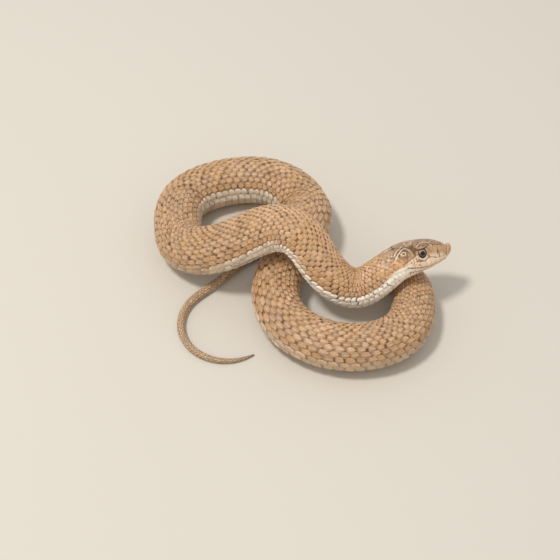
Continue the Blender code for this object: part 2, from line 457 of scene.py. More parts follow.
        # the groove of the mouth, and the lower lip drawn in below it
        gap = self.mouth_gap(along, angle)
        groove = 0.75 * bell(gap, 0.24) + 0.16 * between(gap, 0.0, 0.5, 1.0, 2.5)
        shape -= groove * between(along, 1.0, 1.2, self.mouth_ends - 1.2, 1.2)
        # the nostril's rim and pit
        nostril = self.nostril_distance(along, angle)
        shape += 0.08 * bell(nostril - 0.62, 0.26) - 0.9 * bell(nostril, 0.34)
        # the groove along the chin
        chin = (math.pi - np.abs(angle)) * self.girth(along)
        shape -= 0.25 * bell(chin, 0.4) * between(along, 5.0, 2.0, 19.0, 3.0)
        # the upturned edge of the snout shield, and the swell of the jaw muscle
        top = bell(np.degrees(angle), 40.0)
        shape += (0.28 * bell(along + 0.1, 0.7) - 0.12 * bell(along - 1.9, 0.8)) * top
        jaw = bell(along - 23.5, 3.6) * bell(self.around(along, angle, 86.0), 3.6)
        return shape + 0.18 * jaw

    def place(self, along: Array, angle: Array, height: Array) -> Array:
        """Points at a height over the surface, in metres in the row frame.

        Args:
            along: Distances from the snout.
            angle: Angles round the body.
            height: Millimetres above the solids' surface, negative inside it.

        Returns:
            An array of points.
        """
        along = np.clip(np.asarray(along, float), self.tip, self.route.length)
        angle = np.asarray(angle, float)
        out = self.outward(along, angle)
        raised = (self.sculpt(along, angle) + height)[..., None]
        point = self.plain(along, angle) + out * raised
        point[..., 2] = np.maximum(point[..., 2], self.lowest)
        return point * MM + self.offset

    def settle(self, node: str) -> None:
        """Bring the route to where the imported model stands, by one eyeball's box.

        Args:
            node: The left eye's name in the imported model.
        """
        low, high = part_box(node)
        ball = self.in_skull(self.eye.along, self.eye.out, self.eye.up)
        self.offset = (np.array(low) + np.array(high)) / 2.0 - ball * MM
        log.info("route shifted by %s mm", np.round(self.offset / MM, 3))


# ---------------------------------------------------------------- markings
@dataclass(frozen=True)
class HeadLines:
    """The thin dark and pale marks of temple, brow, crown and lips, as (along, degrees)."""

    arc: float = 0.165  # millimetres round the head for each degree
    ends: float = 36.0
    # (corners, half width in millimetres, strength)
    dark: tuple = (
        (((27.8, 57), (27.2, 50), (26.2, 43)), 0.52, 1.00),
        (((26.2, 43), (24.8, 40), (24.0, 46), (23.3, 52)), 0.66, 1.00),
        (((25.8, 52),), 0.50, 1.00),
        (((25.0, 29), (26.2, 34), (27.0, 38), (27.6, 42)), 0.54, 1.00),
        (((28.0, 37),), 0.55, 1.00), (((28.4, 46),), 0.60, 1.00), (((29.6, 49),), 0.75, 1.00),
        (((29.2, 55),), 0.65, 1.00), (((30.2, 59),), 0.75, 1.00), (((30.6, 42),), 0.65, 1.00),
        (((31.6, 53),), 0.60, 0.90), (((31.2, 64),), 0.60, 0.85),
        (((24.0, 61),), 0.65, 0.90), (((22.4, 65),), 0.55, 0.80), (((28.6, 66),), 0.60, 0.90),
        (((29.8, 71),), 0.55, 0.80), (((26.6, 63),), 0.60, 0.75), (((25.0, 68),), 0.60, 0.60),
        (((24.4, 25), (23.8, 30), (22.8, 34), (22.0, 41), (21.0, 46)), 0.32, 0.80),
        (((30.0, 15), (27.8, 14), (25.5, 12), (24.0, 12)), 0.28, 0.60),
        (((20.6, 70), (23.5, 74), (26.0, 79), (27.0, 82)), 0.60, 0.60),
        (((12.9, 58), (12.0, 65), (11.4, 74)), 0.55, 0.55),
        (((17.7, 46), (15.8, 38), (13.8, 34), (12.0, 38), (11.4, 47)), 0.32, 0.70),
        (((18.6, 83), (17.3, 87)), 0.44, 0.75), (((19.6, 90), (18.9, 98)), 0.34, 0.80),
        (((19.3, 80), (16.6, 87), (15.6, 88)), 0.60, 0.30),
        (((22.2, 14),), 0.50, 0.60), (((20.8, 18),), 0.50, 0.60), (((15.6, 22),), 0.60, 0.45),
        (((14.2, 28), (16.4, 27)), 0.50, 0.50), (((8.6, 12),), 0.60, 0.40),
        (((6.4, 40), (9.6, 44)), 0.50, 0.35), (((12.2, 6),), 0.60, 0.40),
    )
    light: tuple = (
        (((21.8, 54), (22.1, 47), (23.3, 39), (24.7, 34), (26.6, 40), (27.6, 47), (28.3, 54),
          (28.9, 61)), 0.30, 0.80),
        (((22.0, 50),), 0.60, 0.90),
        (((25.0, 25), (26.4, 29), (27.4, 34), (28.1, 41), (28.7, 47)), 0.30, 0.85),
        (((29.0, 36),), 0.36, 0.70), (((29.5, 43),), 0.46, 0.80), (((30.6, 52),), 0.50, 1.00),
        (((29.8, 65),), 0.40, 0.70), (((26.0, 66),), 0.40, 0.50),
        (((19.5, 72), (23.5, 79), (26.5, 84), (27.6, 89)), 0.40, 1.00),
        (((18.3, 44), (15.9, 32), (13.8, 27), (11.4, 34), (10.6, 48), (10.4, 56)), 0.32, 0.80),
        (((30.5, 9), (27.2, 7), (24.2, 6)), 0.30, 0.60),
    )
    # (middle, radius, half width, strength) of the pale rings
    rings: tuple = (
        ((25.8, 52.0), 0.95, 0.34, 0.90), ((21.4, 16.0), 1.75, 0.34, 0.70),
        ((18.2, 8.0), 0.85, 0.28, 0.50),
    )

    def kept(self, lines: tuple, fine: bool) -> tuple:
        """The marks kept on a mesh's points: the dots, and on a fine mesh the strokes too."""
        return tuple(mark for mark in lines if fine or len(mark[0]) == 1)

    def drawn(self, lines: tuple, along: Array, angle: Array) -> Array:
        """How much of a set of lines shows at each place.

        Args:
            lines: Rows of corners, half width and strength.
            along: Distances from the snout.
            angle: Angles round the body.

        Returns:
            Shares from 0 to 1.
        """
        around = np.degrees(np.abs(angle)) * self.arc
        shown = np.zeros(np.shape(along))
        for corners, width, strength in lines:
            flat = tuple((at, degrees * self.arc) for at, degrees in corners)
            away = line_distance(along, around, flat)
            shown = np.maximum(shown, strength * ease((width - away) / (0.7 * width)))
        return np.where(along < self.ends, shown, 0.0)


@dataclass(frozen=True)
class Markings:
    """Where the animal is dark, pale or grey, as shares from 0 to 1 at any place."""

    form: Form
    lines: HeadLines = HeadLines()
    # (along, degrees from the ridge where the pale begins)
    pale_starts: tuple = (
        (-2, 112), (1.6, 108), (3.4, 92), (6, 78), (13, 74), (17, 74), (19.5, 73), (23.5, 80),
        (26.5, 85), (32, 92), (37, 97), (60, 97), (75, 95), (88, 85), (100, 75), (118, 75),
        (160, 76), (430, 76), (480, 86), (651, 100),
    )
    # (along, degrees over which it comes in)
    pale_widths: tuple = (
        (0, 30), (3.4, 18), (13, 14), (17, 7), (20, 4), (27, 5), (34, 8), (60, 10), (110, 14),
        (651, 18),
    )
    # (along, the most of it on the flank); from 184 to 250 it is partly the real pale band, partly
    # painted light on an inner flank in shade
    pale_shares: tuple = (
        (-2, 1), (108, 1), (122, 0.85), (134, 0.5), (160, 0.5), (184, 0.8), (250, 0.9),
        (275, 0.6), (310, 0.5), (326, 0.7), (345, 0.7), (362, 0.5), (651, 0.5),
    )
    # (along, how white the pale is); from 184 to 225 it is partly the real pale band, partly
    # painted light on an inner flank in shade
    white_shares: tuple = (
        (18, 0.0), (24, 0.3), (29, 1.0), (60, 0.9), (84, 0.7), (100, 0.6), (116, 0.5),
        (126, 0.3), (145, 0.1), (166, 0.2), (184, 0.6), (225, 0.7), (255, 0.3), (300, 0.15),
        (326, 0.3), (345, 0.3), (365, 0.1), (651, 0.1),
    )
    tail_pale: float = 0.36
    whorl: tuple = (26.0, 50.0)  # (along, degrees) of the temple's whorl
    # (corners, width in millimetres, strength) of the brown smudges of the head
    smudges: tuple = (
        (((19.5, 58), (23.0, 64), (26.0, 70)), 1.5, 0.38), (((21.5, 32), (27.0, 22)), 1.0, 0.25),
        (((13.0, 42), (17.5, 44)), 1.2, 0.25),
    )
    # and of its orange ones
    blushes: tuple = (
        (((20.6, 91), (22.6, 88)), 0.8, 0.75), (((13.4, 57),), 0.6, 0.5),
        (((18.8, 53),), 0.6, 0.5), (((26.2, 69), (28.0, 77), (30.5, 70)), 1.0, 0.6),
    )

    def side_height(self, along: Array, angle: Array) -> Array:
        """Height above the middle of the head or body, in its own section."""
        return self.form.section(along, angle)[1]

    def scute_end(self, along: Array, angle: Array) -> Array:
        """The straw-coloured ends of the belly scutes behind the neck."""
        degrees = np.degrees(np.abs(angle))
        return between(degrees, 110.0, 8.0, 134.0, 14.0) * ease((along - 96.0) / 16.0)

    def pale(self, along: Array, angle: Array) -> Array:
        """The cream of the belly, the lowest flank rows, the throat and the lips.

        Args:
            along: Distances from the snout.
            angle: Angles round the body.

        Returns:
            Shares from 0 to 1.
        """
        degrees = np.degrees(np.abs(angle))
        start = straight_reading(self.pale_starts, along)
        width = straight_reading(self.pale_widths, along)
        most = straight_reading(self.pale_shares, along)
        under = np.maximum(most, ease((degrees - 136.0) / 14.0))
        shown = ease((degrees - start) / width) * under
        shown = shown * (1.0 - 0.5 * self.scute_end(along, angle))
        return np.maximum(shown, self.tail_pale * ease((along - 520.0) / 50.0))

    def white(self, along: Array, angle: Array) -> Array:
        """The brightest of the pale parts: throat, neck and the inner flank of the hump."""
        share = straight_reading(self.white_shares, along) * (1.0 - self.scute_end(along, angle))
        return share * ease((np.degrees(np.abs(angle)) - 72.0) / 12.0)

    def peach(self, along: Array, angle: Array) -> Array:
        """The warmer pale of the lips and the sides of the snout."""
        return 0.9 * self.pale(along, angle) * (1.0 - ease((along - 20.0) / 8.0))

    def whorl_distance(self, along: Array, angle: Array) -> Array:
        """Millimetres from the middle of the temple's whorl."""
        around = (np.degrees(np.abs(angle)) - self.whorl[1]) * self.lines.arc
        return np.hypot(along - self.whorl[0], around)

    def patches(self, along: Array, angle: Array, table: tuple) -> Array:
        """How strongly the soft patches of a table show.

        Args:
            along: Distances from the snout.
            angle: Angles round the body.
            table: Rows of corners, width and strength.

        Returns:
            The sum of the patches at each place.
        """
        turned = np.degrees(np.abs(angle)) * self.lines.arc
        shown = np.zeros(np.shape(along))
        for corners, width, strength in table:
            flat = tuple((at, degrees * self.lines.arc) for at, degrees in corners)
            shown = shown + strength * bell(line_distance(along, turned, flat), width)
        return shown

    def dark(self, along: Array, angle: Array) -> Array:
        """The brown shade of the temple and behind the eye."""
        shown = 0.54 * (1.0 - ease((self.whorl_distance(along, angle) - 2.0) / 2.6))
        return np.minimum(shown + self.patches(along, angle, self.smudges), 1.0)

    def crown(self, along: Array, angle: Array) -> Array:
        """The greyer brown on top of the head."""
        over = 1.0 - ease((np.degrees(np.abs(angle)) - 46.0) / 16.0)
        return over * between(along, 2.0, 3.0, 27.0, 9.0)

    def rosy(self, along: Array, angle: Array) -> Array:
        """The warm orange of the snout shield, round the eye and on the hind lip.

        Args:
            along: Distances from the snout.
            angle: Angles round the body.

        Returns:
            Shares from 0 to 1.
        """
        up = self.side_height(along, angle)
        degrees = np.degrees(np.abs(angle))
        tip = 1.0 - 0.6 * ease((degrees - 80.0) / 40.0)
        shown = 0.50 * tip * (1.0 - ease((along - 0.8) / 5.0))
        shown = shown + 0.10 * (1.0 - ease((along - 3.0) / 7.0))
        round_eye = 0.6 * bell(self.form.eye_distance(along, angle) - 2.9, 0.6)
        shown = shown + round_eye * ease((up - 0.8) / 2.0)
        shown = shown + 0.05 * ease((degrees - 82.0) / 6.0) * (1.0 - ease((along - 24.0) / 4.0))
        return np.minimum(shown + self.patches(along, angle, self.blushes), 1.0)

    def crease(self, along: Array, angle: Array) -> Array:
        """Painted shade in the closed mouth's groove, the nostrils' pits and the rim of the eye.

        Args:
            along: Distances from the snout.
            angle: Angles round the body.

        Returns:
            Shares from 0 to 1.
        """
        mouth = 0.5 * bell(self.form.mouth_gap(along, angle), 0.3)
        mouth = mouth * (1.0 - ease((along - 22.0) / 4.0))
        nostril = bell(self.form.nostril_distance(along, angle), 0.42)
        eye = 1.0 - ease((self.form.eye_distance(along, angle) - 2.0) / 0.4)
        return np.minimum(mouth + nostril + eye, 1.0)

    def paint(self, mesh: Mesh, along: Array, angle: Array, fine: bool = False) -> None:
        """Store every marking on a mesh's points.

        Args:
            mesh: The mesh.
            along: Distances of its points from the snout.
            angle: Their angles round the body.
            fine: Whether the head's thin lines are kept on the points too.
        """
        for name in ("pale", "white", "peach", "dark", "crown", "rosy", "crease"):
            values = getattr(self, name)(along, angle)
            if name == "dark":
                marks = self.lines.kept(self.lines.dark, fine)
                values = np.maximum(values, self.lines.drawn(marks, along, angle))
            store(mesh, name, values)
        marks = self.lines.kept(self.lines.light, fine)
        store(mesh, "light", self.lines.drawn(marks, along, angle))
        store(mesh, "along", along)
        store(mesh, "round", np.degrees(np.abs(angle)))


def store(mesh: Mesh, name: str, values: Array) -> None:
    """Keep one number for each point of a mesh."""
    attribute = mesh.attributes.new(name, "FLOAT", "POINT")
    attribute.data.foreach_set("value", np.asarray(values, np.float32).ravel())


def bake_layer(mesh: Mesh, u: Array, v: Array) -> None:
    """Store the map that colours can be baked to.

    Args:
        mesh: The mesh.
        u: First coordinates of its points on the map.
        v: Second coordinates.
    """
    corner = np.zeros(len(mesh.loops), np.int32)
    mesh.loops.foreach_get("vertex_index", corner)
    both = np.stack([u.ravel()[corner], v.ravel()[corner]], axis=1)
    layer = mesh.uv_layers.new(name="OFBake")
    layer.data.foreach_set("uv", both.astype(np.float32).ravel())


# ---------------------------------------------------------------- modelling helpers
def deselect_all() -> None:
    """Leave nothing selected."""
    if bpy.context.object is not None and bpy.context.object.mode != "OBJECT":
        bpy.ops.object.mode_set(mode="OBJECT")
    bpy.ops.object.select_all(action="DESELECT")


def turn_outwards() -> None:
    """Turn the faces of the mesh being edited outwards, and leave edit mode."""
    bpy.ops.mesh.select_all(action="SELECT")
    bpy.ops.mesh.normals_make_consistent(inside=False)
    bpy.ops.object.mode_set(mode="OBJECT")


def adopt(thing: Object, name: str) -> Object:
    """Name a finished piece, and tie it to the body.

    Args:
        thing: The piece.
        name: Its name.

    Returns:
        The piece.
    """
    thing.name = name
    thing.data.name = name
    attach(thing, "root")
    faces = sum(len(polygon.vertices) - 2 for polygon in thing.data.polygons)
    log.info("%s: %d triangles", name, faces)
    return thing


def points_of(mesh: Mesh) -> Array:
    """A mesh's points.

    Args:
        mesh: The mesh.

    Returns:
        An array of points by 3.
    """
    flat = np.zeros(len(mesh.vertices) * 3)
    mesh.vertices.foreach_get("co", flat)
    return flat.reshape(-1, 3)


@dataclass
class Pattern:
    """A small shape modelled once, whose copies are joined into larger pieces."""

    points: Array
    faces: list

    @classmethod
    def from_object(cls, thing: Object) -> "Pattern":
        """Take over an object's mesh and remove the object.

        Args:
            thing: The object.

        Returns:
            Its shape.
        """
        points = points_of(thing.data)
        faces = [tuple(polygon.vertices) for polygon in thing.data.polygons]
        bpy.data.objects.remove(thing, do_unlink=True)
        return cls(points, faces)

    def joined(self, name: str, places: Array) -> Object:
        """One object of many copies.

        Args:
            name: The object's name.
            places: Points of every copy, as an array of copies by points by 3.

        Returns:
            The object, linked to the scene.
        """
        count = places.shape[1]
        faces = [
            tuple(corner + copy * count for corner in face)
            for copy in range(len(places))
            for face in self.faces
        ]
        mesh = bpy.data.meshes.new(name)
        mesh.from_pydata(places.reshape(-1, 3).tolist(), [], faces)
        thing = bpy.data.objects.new(name, mesh)
        bpy.context.scene.collection.objects.link(thing)
        return thing


def tile_pattern(cells_along: int, cells_across: int) -> Pattern:
    """A closed tile: a gridded top over a single face beneath.

    Args:
        cells_along: Faces from the front to the free edge.
        cells_across: Faces from side to side.

    Returns:
        The tile, from 0 to 1 along, -1 to 1 across, and 0 to 1 in height.
    """
    deselect_all()
    bpy.ops.mesh.primitive_grid_add(
        x_subdivisions=cells_along, y_subdivisions=cells_across, size=2.0, location=(0, 0, 0)
    )
    tile = bpy.context.object
    bpy.ops.object.mode_set(mode="EDIT")
    bpy.ops.mesh.select_all(action="SELECT")
    bpy.ops.mesh.extrude_region_move(TRANSFORM_OT_translate={"value": (0.0, 0.0, -1.0)})
    bpy.ops.mesh.dissolve_faces()
    turn_outwards()
    pattern = Pattern.from_object(tile)
    pattern.points[:, 0] = (pattern.points[:, 0] + 1.0) / 2.0
    pattern.points[:, 2] += 1.0
    return pattern


def disc_pattern(spokes: int, rings: tuple) -> Pattern:
    """A flat disc of spokes and rings with its middle closed.

    Args:
        spokes: Points on each ring.
        rings: Radii from the rim at 1 inwards.

    Returns:
        The disc, facing up.
    """
    deselect_all()
    bpy.ops.mesh.primitive_circle_add(vertices=spokes, radius=1.0, location=(0, 0, 0))
    disc = bpy.context.object
    bpy.ops.object.mode_set(mode="EDIT")
    bpy.ops.mesh.select_all(action="SELECT")
    for outer, inner in zip(rings, rings[1:]):
        bpy.ops.mesh.extrude_edges_move()
        share = inner / outer
        bpy.ops.transform.resize(value=(share, share, 1.0), center_override=(0, 0, 0))
    bpy.ops.mesh.edge_face_add()
    bpy.ops.mesh.poke()
    turn_outwards()
    if disc.data.polygons[0].normal.z < 0.0:
        disc.data.flip_normals()
    return Pattern.from_object(disc)


# ---------------------------------------------------------------- finishes
class Bench:
    """Lays out the nodes of one tree and joins them."""

    def __init__(self, tree: Tree) -> None:
        """Start on a tree."""
        self.tree = tree

    def add(self, kind: str, inputs: dict | None = None, **settings: object) -> bpy.types.Node:
        """Place a node.

        Args:
            kind: Its type's name.
            inputs: Values or sockets for its inputs, by name or number.
            settings: Its properties.

        Returns:
            The node.
        """
        node = self.tree.nodes.new(kind)
        for name, value in settings.items():
            setattr(node, name, value)
        for name, value in (inputs or {}).items():
            self.give(node.inputs[name], value)
        return node

    def give(self, socket: Socket, value: object) -> None:
        """Set a socket, or join another to it.

        Args:
            socket: The input.
            value: A value, or the output to join.
        """
        if isinstance(value, Socket):
            self.tree.links.new(value, socket)
        else:
            socket.default_value = value

    def read(self, name: str) -> Socket:
        """A number kept on the mesh's points."""
        return self.add("ShaderNodeAttribute", attribute_name=name).outputs["Fac"]

    def math(self, operation: str, *values: object, clamp: bool = False) -> Socket:
        """One sum."""
        inputs = dict(enumerate(values))
        return self.add("ShaderNodeMath", inputs, operation=operation, use_clamp=clamp).outputs[0]

    def vector(self, operation: str, first: object, second: object) -> Socket:
        """One sum of vectors, whose outcome is a number where the sum gives one."""
        node = self.add("ShaderNodeVectorMath", {0: first, 1: second}, operation=operation)
        return node.outputs["Value" if operation in ("DOT_PRODUCT", "DISTANCE") else "Vector"]

    def scaled(self, vector: object, share: object) -> Socket:
        """A vector made longer or shorter."""
        node = self.add("ShaderNodeVectorMath", {0: vector, "Scale": share}, operation="SCALE")
        return node.outputs[0]

    def blend(self, share: object, first: object, second: object, kind: str = "MIX") -> Socket:
        """Mix two colours."""
        inputs = {0: share, 6: first, 7: second}
        return self.add("ShaderNodeMix", inputs, data_type="RGBA", blend_type=kind).outputs[2]

    def fade(self, value: object, low: float, high: float, to_low: float = 0.0,
             to_high: float = 1.0) -> Socket:
        """Carry one range smoothly over to another."""
        inputs = dict(enumerate((value, low, high, to_low, to_high)))
        return self.add("ShaderNodeMapRange", inputs, interpolation_type="SMOOTHSTEP").outputs[0]

    def noise(self, place: object, scale: float, detail: float = 2.0) -> Socket:
        """Soft noise, from 0 to 1."""
        inputs = {"Vector": place, "Scale": scale, "Detail": detail}
        return self.add("ShaderNodeTexNoise", inputs).outputs[0]


def new_group(name: str, inputs: dict, outputs: dict) -> Tree:
    """An empty node group with its sockets.

    Args:
        name: The group's name.
        inputs: The value that each input has at first, or None for a vector.
        outputs: The kind of each output.

    Returns:
        The group.
    """
    group = bpy.data.node_groups.new(name, "ShaderNodeTree")
    for label, value in inputs.items():
        kind = "NodeSocketVector" if value is None else "NodeSocketFloat"
        socket = group.interface.new_socket(label, in_out="INPUT", socket_type=kind)
        if value is not None:
            socket.default_value = value
    for label, kind in outputs.items():
        group.interface.new_socket(label, in_out="OUTPUT", socket_type="NodeSocket" + kind)
    return group


@dataclass(frozen=True)
class Hues:
    """Base colours of the animal, as linear red, green and blue."""

    tan: tuple = (0.462, 0.284, 0.160, 1.0)
    ochre: tuple = (0.440, 0.256, 0.114, 1.0)
    amber: tuple = (0.450, 0.215, 0.075, 1.0)
    cream: tuple = (0.630, 0.500, 0.340, 1.0)
    white: tuple = (0.880, 0.830, 0.740, 1.0)
    # umber, and joint on pale scales, also colour the painted shade in the gaps between scales
    umber: tuple = (0.105, 0.042, 0.010, 1.0)
    joint: tuple = (0.230, 0.170, 0.120, 1.0)
    temple: tuple = (0.080, 0.040, 0.022, 1.0)
    fleck: tuple = (0.330, 0.165, 0.065, 1.0)
    blush: tuple = (0.660, 0.440, 0.310, 1.0)
    ivory: tuple = (0.740, 0.590, 0.440, 1.0)
    crown: tuple = (0.300, 0.195, 0.125, 1.0)
    rose: tuple = (0.620, 0.310, 0.150, 1.0)
    # slit: the colour of the painted shade in the mouth's groove, the nostrils and round the eye
    slit: tuple = (0.050, 0.030, 0.020, 1.0)
    peach: tuple = (0.810, 0.600, 0.435, 1.0)
    # waves in a metre
    drift_scale: float = 70.0
    vein_scale: float = 900.0
    fleck_scale: float = 950.0
    blush_scale: float = 1250.0
    speckle_scale: float = 1700.0


def hide_colour_group(hues: Hues) -> Tree:
    """The colour of the animal at a place, shared by the skin and all that lies on it.

    Args:
        hues: The base colours.

    Returns:
        A group with inputs Mottle, Shift, Dark and Light, and outputs Color and Pale.
    """
    group = new_group("hide_colour", {"Mottle": 0.5, "Shift": 0.5, "Dark": 0.0, "Light": 0.0},
                      {"Color": "Color", "Pale": "Float"})
    bench = Bench(group)
    given = bench.add("NodeGroupInput")
    place = bench.add("ShaderNodeTexCoord").outputs["Object"]
    drift = bench.noise(place, hues.drift_scale, 3.0)
    ochre = bench.math("ADD", bench.fade(drift, 0.35, 0.7), bench.fade(
        bench.read("round"), 55.0, 100.0, 0.0, 0.5), clamp=True)
    shifted = bench.math("MULTIPLY_ADD", given.outputs["Shift"], 0.6, -0.3)
    ochre = bench.math("ADD", ochre, shifted, clamp=True)
    colour = bench.blend(ochre, hues.tan, hues.ochre)
    colour = bench.blend(bench.math("MULTIPLY", bench.read("crown"), 0.9), colour, hues.crown)
    veins = bench.fade(bench.noise(place, hues.vein_scale, 3.0), 0.52, 0.62)
    veins = bench.math("MULTIPLY", veins, bench.math("MULTIPLY", bench.read("crown"), 0.7))
    colour = bench.blend(veins, colour, hues.temple)
    flecks = bench.fade(bench.noise(place, hues.fleck_scale), 0.54, 0.72, 0.0, 0.5)
    colour = bench.blend(flecks, colour, hues.fleck)
    blush = bench.fade(bench.noise(place, hues.blush_scale), 0.50, 0.68, 0.0, 0.5)
    colour = bench.blend(blush, colour, hues.blush)
    pale = bench.math("ADD", bench.read("pale"), bench.math(
        "MULTIPLY_ADD", given.outputs["Shift"], 0.44, -0.22))
    pale = bench.math("MULTIPLY", pale, bench.fade(bench.read("pale"), 0.0, 0.1), clamp=True)
    colour = bench.blend(pale, colour, hues.cream)
    colour = bench.blend(bench.read("peach"), colour, hues.peach)
    colour = bench.blend(bench.math("MULTIPLY", bench.read("white"), pale), colour, hues.white)
    colour = bench.blend(bench.math("MULTIPLY", bench.read("rosy"), 0.8), colour, hues.rose)
    dark = bench.math("MULTIPLY", given.outputs["Dark"], 0.92)
    colour = bench.blend(dark, colour, hues.temple)
    light = bench.math("MULTIPLY", given.outputs["Light"], 0.92)
    colour = bench.blend(light, colour, hues.ivory)
    tone = bench.math("MULTIPLY_ADD", given.outputs["Mottle"], 0.34, 0.83)
    speckle = bench.noise(place, hues.speckle_scale)
    fine = bench.math("MULTIPLY_ADD", speckle, 0.44, 0.78)
    tone = bench.math("MULTIPLY", tone, fine)
    grey = bench.add("ShaderNodeCombineColor")
    for socket in grey.inputs:
        bench.give(socket, tone)
    colour = bench.blend(1.0, colour, grey.outputs[0], "MULTIPLY")
    # painted shade in the mouth's groove, the nostrils and round the eye
    colour = bench.blend(bench.read("crease"), colour, hues.slit)
    bench.add("NodeGroupOutput", {"Color": colour, "Pale": pale})
    return group


def horn_grain_group() -> Tree:
    """Fine grain for the relief of a scale's horn.

    Returns:
        A group with the input Grain and the output Height.
    """
    group = new_group("horn_grain", {"Grain": 2600.0}, {"Height": "Float"})
    bench = Bench(group)
    given = bench.add("NodeGroupInput")
    place = bench.add("ShaderNodeTexCoord").outputs["Object"]
    grain = bench.add("ShaderNodeTexNoise", {
        "Vector": place, "Scale": given.outputs["Grain"], "Detail": 3.0})
    bench.add("NodeGroupOutput", {"Height": grain.outputs[0]})
    return group


def stroke_group() -> Tree:
    """One straight stroke of a brush with soft edges.

    Returns:
        A group with inputs Place, From, To, Width and Strength, and the output Mask.
    """
    group = new_group("stroke", {
        "Place": None, "From": None, "To": None, "Width": 0.0, "Strength": 0.0},
        {"Mask": "Float"})
    bench = Bench(group)
    given = bench.add("NodeGroupInput").outputs
    run = bench.vector("SUBTRACT", given["To"], given["From"])
    away = bench.vector("SUBTRACT", given["Place"], given["From"])
    size = bench.math("MAXIMUM", bench.vector("DOT_PRODUCT", run, run), 0.0001)
    share = bench.math("DIVIDE", bench.vector("DOT_PRODUCT", away, run), size, clamp=True)
    gap = bench.vector("DISTANCE", away, bench.scaled(run, share))
    inner = bench.math("MULTIPLY", given["Width"], 0.3)
    mask = bench.fade(gap, given["Width"], inner)
    bench.add("NodeGroupOutput", {"Mask": bench.math("MULTIPLY", mask, given["Strength"])})
    return group


def head_lines_group(lines: HeadLines, stroke: Tree) -> Tree:
    """The thin marks of the head.

    Args:
        lines: Their corners, widths and strengths.
        stroke: The group of one stroke.

    Returns:
        A group with the input Waver, in millimetres, and the outputs Dark and Light.
    """
    group = new_group("head_lines", {"Waver": 0.5}, {"Dark": "Float", "Light": "Float"})
    bench = Bench(group)
    waver = bench.add("NodeGroupInput").outputs["Waver"]
    around = bench.math("MULTIPLY", bench.read("round"), lines.arc)
    flat = bench.add("ShaderNodeCombineXYZ", {"X": bench.read("along"), "Y": around}).outputs[0]
    noise = bench.add("ShaderNodeTexNoise", {
        "Vector": bench.add("ShaderNodeTexCoord").outputs["Object"], "Scale": 620.0})
    drift = bench.vector("SUBTRACT", noise.outputs["Color"], (0.5, 0.5, 0.5))
    drift = bench.vector("MULTIPLY", drift, (1.0, 1.0, 0.0))
    place = bench.vector("ADD", flat, bench.scaled(drift, waver))
    found = {}
    for name, table in (("Dark", lines.dark), ("Light", lines.light)):
        total = 0.0
        for corners, width, strength in table:
            for start, end in zip(corners, corners[1:]):
                node = bench.add("ShaderNodeGroup", node_tree=stroke)
                for label, value in (
                    ("Place", place), ("From", (start[0], start[1] * lines.arc, 0.0)),
                    ("To", (end[0], end[1] * lines.arc, 0.0)), ("Width", width),
                    ("Strength", strength),
                ):
                    bench.give(node.inputs[label], value)
                total = bench.math("MAXIMUM", total, node.outputs["Mask"])
        found[name] = total
    for middle, radius, width, strength in lines.rings:
        gap = bench.vector("DISTANCE", place, (middle[0], middle[1] * lines.arc, 0.0))
        gap = bench.math("ABSOLUTE", bench.math("SUBTRACT", gap, radius))
        ring = bench.fade(gap, width, 0.3 * width, 0.0, strength)
        found["Light"] = bench.math("MAXIMUM", found["Light"], ring)
    shown = bench.fade(bench.read("along"), lines.ends, lines.ends - 2.0)
    bench.add("NodeGroupOutput", {
        name: bench.math("MULTIPLY", value, shown) for name, value in found.items()})
    return group


